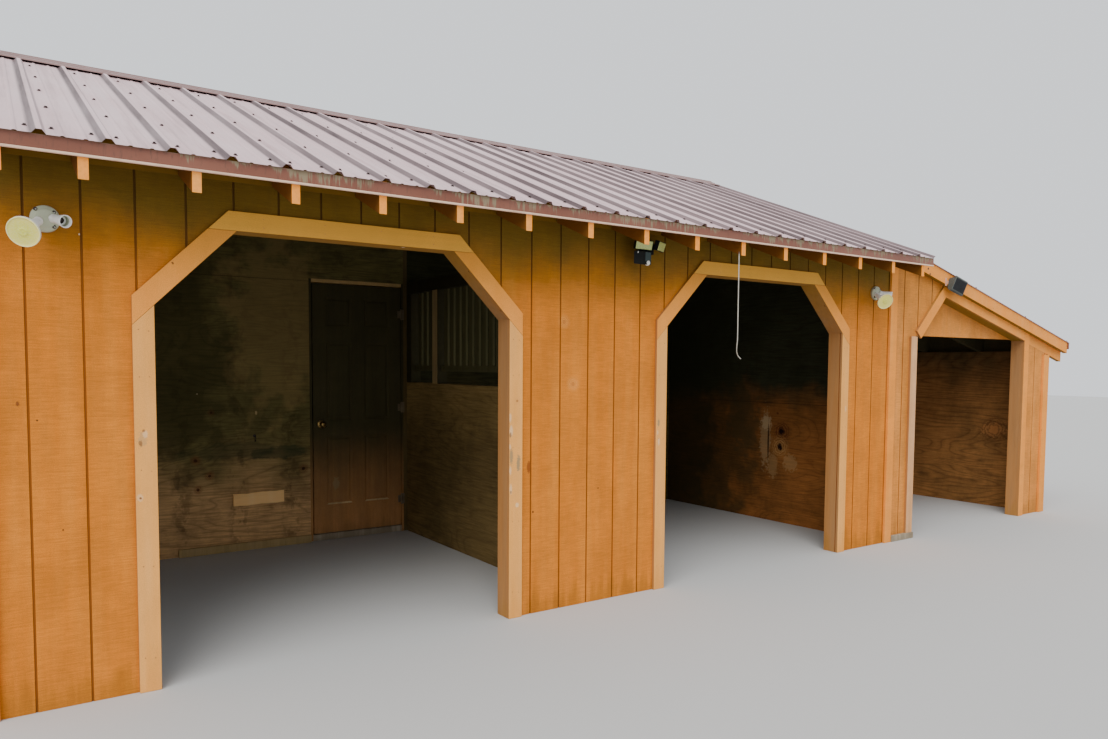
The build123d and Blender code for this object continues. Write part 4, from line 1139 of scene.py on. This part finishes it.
def roof_sheet(name, node, columns, run, slope, first, material, middle, across, uphill):
    """One ribbed slope about its middle: its width goes across and its ribs run uphill. Gives its normal."""
    turn = math.atan(slope)
    up_slope = Vector(uphill) * math.cos(turn) + Vector((0, 0, math.sin(turn)))
    normal = Vector(across).cross(up_slope)
    made = grown(
        name, bpy.data.meshes.new(name), ribbed_sheet_tree, material, sheet_thickness, Width=columns * step,
        Length=run * math.hypot(1, slope) / 1000, Columns=columns + 1, Rows=14, First_rib=first,
    )
    facing = Matrix((across, up_slope, normal)).transposed().to_4x4()
    made.data.transform(Matrix.Translation(middle + normal * (sheet_thickness + sheet_gap)) @ facing)
    settled(made, [node])
    return normal


main_width = main_columns * step
main_middle = roof_left + main_width * 500
half_run = eave_edge + main_run / 2
front_normal = roof_sheet(
    "roof_sheet_front", "main_roof_front", main_columns, main_run, main_slope, rib_start, roof_paint_and_reflection,
    spot(main_middle, half_run, roof_underside(half_run)), (1, 0, 0), (0, 1, 0),
)
back_normal = roof_sheet(
    "roof_sheet_back", "main_roof_back", main_columns, main_run, main_slope, main_width - rib_start,
    roof_paint_and_reflection, spot(main_middle, main_depth - half_run, roof_underside(half_run)), (-1, 0, 0), (0, -1, 0),
)
lean_middle = main_length + lean_run / 2
lean_normal = roof_sheet(
    "lean_roof_sheet", "lean_roof", lean_columns, lean_run, lean_slope, lean_rib_start, lean_roof_paint_and_reflection,
    spot(lean_middle, main_depth / 2, lean_underside(lean_middle)), (0, 1, 0), (-1, 0, 0),
)

# Roof screws: a pair beside every rib at the eave, and one beside it in rows up the slope
screw_lift = 0.004
roof_screws = []
for back, normal in ((False, front_normal), (True, back_normal)):
    for rib in range(27):
        for run, shifts in ((140, (-43, 45)), (690, (56,)), (1230, (56,)), (1765, (56,)), (2290, (56,))):
            y = eave_edge + run / math.hypot(1, main_slope)
            jitter = 6 * math.sin(rib * 7.3 + run)
            for shift in shifts:
                x = first_rib + rib_pitch * rib + shift
                point = spot(x + jitter, main_depth - y if back else y, roof_underside(y))
                if x < main_length - 8:
                    roof_screws.append((point + normal * screw_lift, normal))
for rib in range(18):
    for x in (6420, 7300, 8200, 9060):
        for shift in (-43, 45):
            y = first_lean_rib + rib_pitch * rib + shift
            if y < 4250:
                roof_screws.append((spot(x, y, lean_underside(x)) + lean_normal * screw_lift, lean_normal))
fasteners(
    "roof_screws", roof_screws, screw_steel, "roof_sheet", Head_radius=0.0058, Head_height=0.0065,
    Head_sides=6, Washer_radius=0.0095, Washer_height=0.0025, Size_change=0.06, Seed=4,
)


# Folded metal: ridge cap and eave trims
def folded(form, outline, x_from, x_to, thickness, finishes=()):
    """Thin metal folded to an outline of (y, z) points in the building, its thickness towards the roof."""
    points = [Vector((0, y, z)) for y, z in outline]
    ways = [(after - before).normalized() for before, after in zip(points, points[1:])]
    inner = []
    for point, before, after in zip(points, [ways[0], *ways], [*ways, ways[-1]]):
        middle = (before + after).normalized()
        inner.append(point - Vector((0, -middle.z, middle.y)) * thickness / max(0.3, middle.dot(after)))
    profile = points + inner[::-1]
    rows = [[form.verts.new(spot(x, p.y, p.z)) for p in profile] for x in (x_from, x_to)]
    count = len(profile)
    for i in range(count):
        k = (i + 1) % count
        face = form.faces.new((rows[0][i], rows[0][k], rows[1][k], rows[1][i]))
        segment = i if i < len(ways) else count - 2 - i
        face.material_index = finishes[segment] if 0 <= segment < len(finishes) else 0
    form.faces.new(rows[0][::-1])
    form.faces.new(rows[1])


ridge_peak = (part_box("ridge_cap")[1].z - front_corner.z) * 1000 - 0.6
cap_folds = ((0, 0), (22, 1.5), (27, 9.5), (70, -1.0), (75, 3.0), (140, 0.5), (145, 5), (147, 9))
form = bmesh.new()
for start, end, dip in ((roof_left, 3035, 0.0), (3010, main_length, 1.2)):
    half = [
        (main_depth / 2 - out, ridge_peak - dip - fold - (out * main_slope if out > 30 else 0))
        for out, fold in cap_folds
    ]
    folded(form, half[::-1] + [(main_depth - y, z) for y, z in half[1:]], start, end, 1.0)
piece("ridge_cap_folded", form, [cap_paint], ["ridge_cap"])

trim_top = 2291.8
trim_outline = [
    (-301, trim_top), (-310.6, trim_top - 0.4), (-310.8, 2243), (-309.4, 2240.5), (-311.8, 2238),
    (-311.8, 2232.5), (-309.5, 2231), (-303, 2231.4), (-302.6, 2234),
]
# The lower hem takes the painted highlight finish.
trim_finishes = (0, 0, 0, 1, 1, 1, 1, 1)
form = bmesh.new()
folded(form, [(y + 0.8, z) for y, z in trim_outline], roof_left, 2904, 0.8, trim_finishes)
folded(form, [(y, z - 0.2) for y, z in trim_outline], 2878, main_length, 0.8, trim_finishes)
for start, end, shift in ((roof_left, 3060, 0.8), (3034, main_length, 0.0)):
    folded(form, [(main_depth - y - shift, z) for y, z in trim_outline], start, end, 0.8, trim_finishes)
piece("eave_trims_folded", form, [eave_paint, lip_painted_highlight], ["main_eave_trims"])

# Timber with eased edges
along_x, along_y = Vector((1, 0, 0)), Vector((0, 1, 0))
front_face, back_face = spot(0, 0, 0), spot(0, main_depth, 0)
lean_start = spot(6320, 0, 0).x
worn_jamb_inside, worn_jamb_end = spot(6490, 0, 0).x, spot(7000, 0, 0).x
lean_outside = spot(lean_end, 0, 0)
partition_side = spot(partition_left, 0, 0).x
post_back = spot(0, 2300, 0).y


def rafter_finish(middle, normal):
    """The tails outside the walls with their sides in painted shade, their cut ends in brighter painted light,
    and the rafters inside.
    """
    if front_face.y <= middle.y <= back_face.y:
        return 2
    return 1 if abs(normal.y) > 0.8 else 0


def trim_finish(middle, normal):
    """The main block's trim, the lean-to's, and the narrow faces of the boards, which take painted shade."""
    if abs(normal.y) < 0.5:
        return 2
    return 1 if middle.x > lean_start else 0


def jamb_finish(middle, normal):
    """The main openings' jamb boards, the lean-to's left one whose paint has rubbed off, its right one, and
    their narrow faces, which take painted shade except on that left one.
    """
    if abs(normal.y) < 0.5:
        return 1 if worn_jamb_inside < middle.x < worn_jamb_end else 3
    if middle.x < lean_start:
        return 0
    return 1 if middle.x < worn_jamb_end else 2


def underside(middle, normal):
    """A board's sides, and its lower face in painted shade."""
    return 1 if normal.z < -0.6 else 0


def beyond_partition(middle, normal):
    """The door wall in the left bay and in the right bay."""
    return 1 if middle.x > partition_side else 0


def post_finish(middle, normal):
    """The pale side of the post in the left bay, and the rest."""
    return 0 if normal.x < -0.5 and middle.y < post_back else 1


def outside_lean(middle, normal):
    """The lean-to's rafters inside and outside its walls."""
    return 1 if middle.x > lean_outside.x or middle.y > back_face.y else 0


lean_trim = [lean_trim_paint, reveal_painted_shade]
for row in (
    (
        "main_rafters", 2.0, tail_side_painted_shade, "framing", [tail_end_painted_light, rough_framing], rafter_finish,
        [(front_face, along_y), (back_face, along_y)],
    ),
    ("ridge_board", 1.5, rough_framing, "framing"),
    ("eave_blocks", 1.5, soffit_painted_shade, "framing"),
    (
        "jamb_trims", 2.0, jamb_paint, "siding", [worn_jamb_paint, lean_trim_paint, reveal_painted_shade],
        jamb_finish, (), 1.0,
    ),
    ("chamfer_trims", 2.0, chamfer_paint, "siding", lean_trim, trim_finish, (), 1.0),
    ("header_trims", 2.0, header_paint, "siding", lean_trim, trim_finish, (), 1.0),
    ("corner_boards", 2.0, lean_trim_paint, "siding"),
    ("door_wall_left", 1.0, brown_ply, "lining"),
    (
        "door_wall_right", 1.0, casing_brown, "lining", [dark_ply], beyond_partition,
        [(spot(partition_left + 2, 0, 0), along_x)],
    ),
    ("door_wall_head", 1.0, brown_ply, "lining"),
    ("door_side_jambs", 1.5, door_brown, "lining"),
    ("door_head_jamb", 1.5, door_pale, "lining"),
    ("door_sill", 2.0, foot_wood, "lining"),
    ("partition_wall", 1.5, partition_ply, "lining"),
    ("partition_posts", 2.0, post_wood, "lining", [rough_framing], post_finish),
    ("partition_top_rail", 2.0, rough_framing, "lining"),
    ("partition_grilles", 1.5, grille_wood, "lining"),
    ("lean_foot_block", 3.0, foot_wood, "foot_timber"),
    ("lean_front_rafter", 2.0, lean_trim_paint, "framing", [soffit_painted_shade], underside),
    ("lean_infill_panel", 1.0, lean_siding_paint, "siding"),
    ("lean_ledger", 2.0, rough_framing, "framing"),
    (
        "lean_rafters", 2.0, rough_framing, "framing", [lean_trim_paint], outside_lean,
        [(lean_outside, along_x)],
    ),
    ("lean_eave_blocks", 1.5, rough_framing, "framing"),
    ("lean_rake_boards", 2.5, lean_trim_paint, "framing", [soffit_painted_shade], underside),
    ("lean_eave_trim", 1.5, eave_paint, "eave_metal"),
):
    eased(*row)

# Door leaf: six panels a side, each with a sloped moulding and a raised field
panel_groove = 28
panel_depth = 6.6
panel_proud = 0.35
frame_toe = -13
field_toe = 11
panel_sides = ((2325, 2541), (2651, 2867))
panel_heights = ((1751, 1981), (981, 1621), (291, 851))
leaf_low, leaf_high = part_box("door_leaf")


def moulding(form, low, high, face, inward, toe, highlit=False):
    """A sloped moulding round a panel between two corners (x, z); toe is how far its foot lies outside. highlit
    gives its lower sloped face a painted highlight.
    """
    rings = []
    for grow, deep in ((0, panel_proud), (0, panel_depth), (toe, panel_depth)):
        left, right = (spot(x, 0, 0).x for x in (low[0] - grow, high[0] + grow))
        bottom, top = (spot(0, 0, z).z for z in (low[1] - grow, high[1] + grow))
        y = face + inward * deep / 1000
        corners = ((left, y, bottom), (right, y, bottom), (right, y, top), (left, y, top))
        rings.append([form.verts.new(corner) for corner in corners])
    for i in range(4):
        k = (i + 1) % 4
        for first, second in zip(rings, rings[1:] + rings[:1]):
            side = form.faces.new((first[i], first[k], second[k], second[i]))
            side.material_index = 1 if highlit and i == 0 and first is rings[2] else 0


form = whole_form("door_leaf")
ease_edges(form, 1.5)
for face, inward in ((leaf_low.y, 1), (leaf_high.y, -1)):
    for left, right in panel_sides:
        for bottom, top in panel_heights:
            low_front = bottom < 300 and inward > 0
            moulding(form, (left, bottom), (right, top), face, inward, frame_toe, low_front)
            field_low = (left + panel_groove, bottom + panel_groove)
            moulding(form, field_low, (right - panel_groove, top - panel_groove), face, inward, field_toe)
piece("door_leaf_panelled", form, [door_brown, door_edge_highlight], ["door_leaf"], "door")

# A short board, a plank at the foot and a hook on the inner wall
form = bmesh.new()
board_middle = spot(1776, 2529.7, 397)
slant = Matrix.Translation(board_middle) @ Matrix.Rotation(math.radians(-0.9), 4, "Y")
box_in(form, (-0.193, -0.0098, -0.047), (0.193, 0.0098, 0.047), slant)
bmesh.ops.subdivide_edges(form, edges=[e for e in form.edges if e.calc_length() > 0.3], cuts=14)
for vert in form.verts:
    along = (vert.co.x - board_middle.x) * 16
    vert.co.z += 0.0022 * math.sin(along * 1.7 + 1) + 0.0012 * math.sin(along * 5.1)
ease_edges(form, 2.0)
piece("wall_board", form, [bare_board_with_highlight])
form = bmesh.new()
box_in(form, spot(1190, 2512, 0), spot(2184, 2539.6, 60))
ease_edges(form, 3.0)
piece("wall_foot_plank", form, [post_wood])
form = bmesh.new()
hook_bends = [
    (0, 0, 0), (0, -14, 2), (0, -26, -4), (1, -32, -18), (1, -30, -34), (2, -22, -42), (2, -15, -38),
    (2, -12, -30),
]
tube(form, [spot(1751 + a, 2539.6 + b, 884 + c) for a, b, c in hook_bends], 0.0034)
turned(form, [(0, 0), (0, 11), (1.6, 11), (2.6, 8), (2.6, 0)], spot(1751, 2539.8, 884), (0, -1, 0), 24)
piece("wall_hook", form, [screw_steel])

# Door furniture
knob_rings = [
    (0, 0), (0, 32), (3, 32), (6, 30), (7.5, 26), (8, 14), (12, 11), (26, 10.5), (33, 13), (40, 21),
    (50, 25.6), (60, 25), (68, 20), (72.5, 12), (73.6, 0),
]
knob_low, knob_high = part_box("door_knobs")
knob_middle = (knob_low + knob_high) / 2
form = bmesh.new()
for face, way in ((leaf_low.y, -1), (leaf_high.y, 1)):
    turned(form, knob_rings, Vector((knob_middle.x, face, knob_middle.z)), (0, way, 0), 36)
piece("door_knobs_turned", form, [knob_brass], ["door_knobs"], "door")
for node in ("hinge_pins", "hinge_leaves"):
    nodes[node].data.materials.clear()
    nodes[node].data.materials.append(hinge_steel)

# Twin flood lights: each is a round plate with a lamp and an empty socket
plate_profile = [(0, 0), (0, 54), (12, 54), (19, 52), (22, 47), (23, 40), (27, 37), (28, 34), (28, 0)]
hole_places = ((-33, 35), (-24, 12), (31, 27), (31, -31), (-31, -33))
hole_rim = [(19, 0), (19, 7.4), (24.4, 7.4), (24.4, 6.0), (23.2, 5.4), (23.2, 0)]
hole_screw = [(22, 0), (22, 3.6), (25.4, 3.6), (26, 2.4), (26, 0)]
holder = [(-12, 0), (-12, 14), (2, 15), (3, 18), (9, 18), (10, 16.5), (20, 17), (40, 18.5)]
neck = [(84, 21), (88, 20), (88, 17), (86, 0)]
mouth = [(82, 25.2), (87, 26), (90, 25.4), (90, 23.2), (88, 22.4), (58, 20.6), (57, 0)]
threads = [(58 + 3 * i + k, 19.0 if k == 0 else 20.4) for i in range(7) for k in (0, 1.5)]
socket_floor = [(56.5, 0), (56.5, 20.2), (57.6, 20.2), (57.6, 0)]
bulb = [(80, 0), (80, 17), (92, 21), (100, 27), (112, 38), (124, 49), (134, 57), (138, 60), (146, 60.4)]
bulb_edge = [(146, 60.4), (149, 60.2), (150.6, 58.8), (150.4, 57.2), (148.6, 56.4)]
bulb_face = [
    (148.6, 56.4), (148.0, 48), (148.6, 24), (148.4, 17), (150.6, 15), (151.6, 12.5), (150.6, 10),
    (150.0, 6), (151.4, 3), (151.4, 0),
]
forward_way = Vector((0, -1, 0))
lamp_way = Vector((-60, -125, -70)).normalized()
socket_way = Vector((42, -80, -20)).normalized()
plate_form, bulb_form = bmesh.new(), bmesh.new()
for x in (287, 5913):
    wall, lamp, socket = spot(x, 0, 2028), spot(x - 22, -26, 2017), spot(x + 26, -26, 2030)
    turned(plate_form, plate_profile, wall, forward_way, 48)
    for across, up in hole_places:
        hole = wall + Vector((across, 0, up)) / 1000
        # The dark discs round the hole screws stand for the plate's holes: painted shade.
        turned(plate_form, hole_rim, hole, forward_way, 20, 2)
        turned(plate_form, hole_screw, hole + Vector((0.0015, 0, -0.001)), forward_way, 16, 3)
    turned(plate_form, holder + neck, lamp, lamp_way, 40, 1)
    turned(plate_form, holder + mouth, socket, socket_way, 40, 1)
    turned(plate_form, threads, socket, socket_way, 32, 0)
    # The socket's dark floor is painted shade deep in the socket.
    turned(plate_form, socket_floor, socket, socket_way, 32, 2)
    for finish, rings in ((0, bulb), (2, bulb_edge), (1, bulb_face)):
        turned(bulb_form, rings, lamp, lamp_way, 56, finish)
for form in (plate_form, bulb_form):
    bmesh.ops.remove_doubles(form, verts=form.verts, dist=1e-6)
plate_finishes = [lamp_metal, lamp_plastic, screw_steel, bright_steel]
piece("flood_plates_cast", plate_form, plate_finishes, ["flood_light_plates"])
piece("flood_bulbs_glass", bulb_form, [lamp_plastic, flood_lens, bulb_rim], ["flood_bulbs"])


# Security light: two flat heads, their arms, a sensor box and its dome
def upright(left, right, top, bottom, y):
    """Four corners of an upright rectangle at a depth: top left, top right, bottom right, bottom left."""
    return [(left, y, top), (right, y, top), (right, y, bottom), (left, y, bottom)]


left_head = [(3323, -123, 2206), (3458, -123, 2206), (3460, -106, 2150), (3325, -106, 2150)]
right_head = [(3495, -140, 2208), (3607, -75, 2210), (3598, -59, 2154), (3486, -124, 2152)]
wall_box = (upright(3438, 3528, 2213, 2137, -50), upright(3434, 3532, 2216, 2134, -0.4))
sensor_front = [(3307, -119, 2139), (3446, -119, 2139), (3446, -117, 2061), (3307, -117, 2061)]
sensor_box = (sensor_front, upright(3384, 3450, 2146, 2070, -52))
sensor_window = [(3398, -119, 2136), (3441, -119, 2136), (3441, -118, 2082), (3398, -118, 2082)]
sensor_lamp = upright(3336, 3342, 2136, 2126, -119)
body_form, glass_form, dome_form = bmesh.new(), bmesh.new(), bmesh.new()
for face, depth in ((left_head, 18), (right_head, 30)):
    slab(body_form, face, depth, 3.0)
    slab(glass_form, face, 4.0, 1.2, inset=3.4, proud=1.0)
for (front, back), ease in ((wall_box, 5.0), (sensor_box, 4.0)):
    block(body_form, [spot(*c) for c in front], [spot(*c) for c in back], ease)
for arm_x, head_x in ((3447, 3430), (3519, 3530)):
    tube(body_form, [spot(arm_x, -46, 2175), spot(arm_x, -66, 2176), spot(head_x, -96, 2180)], 0.0085, 16)
    joint = [(-11, 0), (-11, 11), (-9, 12.5), (9, 12.5), (11, 11), (11, 0)]
    turned(body_form, joint, spot(arm_x, -66, 2176), (1, 0, 0), 24)
tube(body_form, [spot(3440, -60, 2108), spot(3462, -44, 2140), spot(3470, -40, 2160)], 0.012, 16)
slab(body_form, sensor_window, 3, 1.0, 1, proud=0.9)
slab(body_form, sensor_lamp, 2, 0.5, 2, proud=0.9)
dome_way = (-0.1, -0.85, -0.5)
dome_angles = [math.radians(angle) for angle in range(0, 90, 12)]
dome_rings = [(0, 0), (0, 18), *((15 * math.sin(a), 17.5 * math.cos(a)) for a in dome_angles), (15, 0)]
turned(dome_form, dome_rings, spot(3424, -108, 2073), dome_way, 36)
dome_collar = [(-5, 0), (-5, 19), (1.5, 19.4), (2.4, 18), (2.4, 0)]
turned(body_form, dome_collar, spot(3424, -107, 2073.6), dome_way, 36)
body_finishes = [black_plastic, teal_plastic, dome_lens]
piece("security_light_body", body_form, body_finishes, ["security_light"])
piece("security_light_panels", glass_form, [panel_lens])
piece("security_light_dome", dome_form, [dome_lens])

# Small lamp on the rake board: a tilted panel in its frame, a rounded hood behind it, a bracket
lamp_face = [(6876, -128, 2215), (7054, -128, 2171), (7027, -101, 2060), (6848, -101, 2105)]
lamp_rim = [(6873, -124, 2220), (7058, -124, 2174), (7057, -118, 2170), (6872, -118, 2216)]
bracket_plate = [(6820, -60, 2204), (6842, -60, 2202), (6842, -60, 2136), (6820, -60, 2138)]
bracket_arm = [(6838, -60.5, 2182), (6890, -60.5, 2178), (6890, -60.5, 2150), (6838, -60.5, 2154)]
hood = [(-116, 100), (-96, 102), (-70, 98), (-58, 86), (-58, 26), (-66, 5), (-80, -8), (-97, -13)]
hood_length, hood_drop = 170, 42
form = bmesh.new()
slab(form, lamp_face, 14, 3.5)
slab(form, lamp_face, 4, 1.0, 1, inset=10, proud=1.2)
slab(form, lamp_rim, 4, 1.2, 2)
hood_loops = [
    [spot(6852 + hood_length * share + 0.25 * z, y, 2108 - hood_drop * share + z) for y, z in hood]
    for share in (0.0, 0.5, 1.0)
]
skin(form, hood_loops, smooth=True)
slab(form, bracket_plate, 3, 0.8, 3)
slab(form, bracket_arm, 3, 0.8, 3)
lamp_finishes = [grey_plastic, dark_glass, dusty_plastic, bracket_paint]
piece("rake_lamp", form, lamp_finishes, ["solar_light"])

# Nail heads in the trims, in pairs, and bolts at the rake board's upper end
nail_face = trim_face - 0.2
nail_heads = []
for left in opening_lefts:
    right = left + opening_width
    for x in (left - 64, left - 24, right + 24, right + 64):
        for z in (150, 560, 980, 1390, 1590):
            nail_heads.append((spot(x, nail_face, z + 4 * math.sin(x + z)), forward_way))
    for i in range(4):
        x = left + 470 + i * (opening_width - 940) / 3
        for z in (opening_height + 24, opening_height + 64):
            nail_heads.append((spot(x, nail_face, z), forward_way))
for z in (400, 1000, 1600):
    for x in (8330, 8372):
        nail_heads.append((spot(x, nail_face, z), forward_way))
fasteners(
    "trim_nails", nail_heads, nail_steel, "hinge_metal", Head_radius=0.0026, Head_height=0.0006,
    Head_sides=10, Washer_radius=0.0028, Washer_height=0.0003, Size_change=0.1, Seed=5,
)
bolts = [(spot(x, -57.2, lean_underside(x) - drop), forward_way) for x, drop in ((6560, 60), (6590, 96))]
fasteners(
    "rake_bolts", bolts, screw_steel, "hinge_metal", Head_radius=0.006, Head_height=0.002, Head_sides=6,
    Washer_radius=0.009, Washer_height=0.001, Size_change=0.05, Seed=6,
)

# Cord and hook
cord_curve.materials.append(cord_cotton)
settled(pull_cord, ["pull_cord"])
hook_low, hook_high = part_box("cord_hook")
eye_middle = (hook_low + hook_high) / 2 + Vector((0, 0, 0.0005))
eye_radius = 0.0042
form = bmesh.new()
eye_angles = [math.radians(angle) for angle in range(-90, 261, 25)]
tube(form, [eye_middle + Vector((0, math.cos(a), math.sin(a))) * eye_radius for a in eye_angles], 0.0012, 10)
tube(form, [eye_middle + Vector((x, 0, 0)) for x in (0, 0.002, 0.0055)], 0.0014, 10)
piece("cord_eye", form, [hook_wire], ["cord_hook"])

# Floor, backdrop and light
form = bmesh.new()
bmesh.ops.create_grid(form, x_segments=1, y_segments=1, size=40)
floor = mesh_object("studio_floor", form)
floor.location.z = cad_low.z - 0.0005
floor_finish, tree, shader, place = new_finish("studio_floor")
shader["Base Color"].default_value = (0.5, 0.5, 0.49, 1)
shader["Roughness"].default_value = 0.9
floor.data.materials.append(floor_finish)

world = bpy.data.worlds.new("studio_light")
scene.world = world
world.use_nodes = True
backdrop = world.node_tree.nodes["Background"].inputs
backdrop["Color"].default_value = (0.9, 0.93, 0.97, 1)
backdrop["Strength"].default_value = 1.2
sun_data = bpy.data.lights.new("high_left_light", "SUN")
sun_data.energy = 2.75
sun_data.angle = math.radians(45)
sun_data.color = (1.0, 0.98, 0.95)
sun = bpy.data.objects.new("high_left_light", sun_data)
scene.collection.objects.link(sun)
sun.rotation_euler = Vector((-0.5, -0.42, 0.75)).to_track_quat("Z", "Y").to_euler()
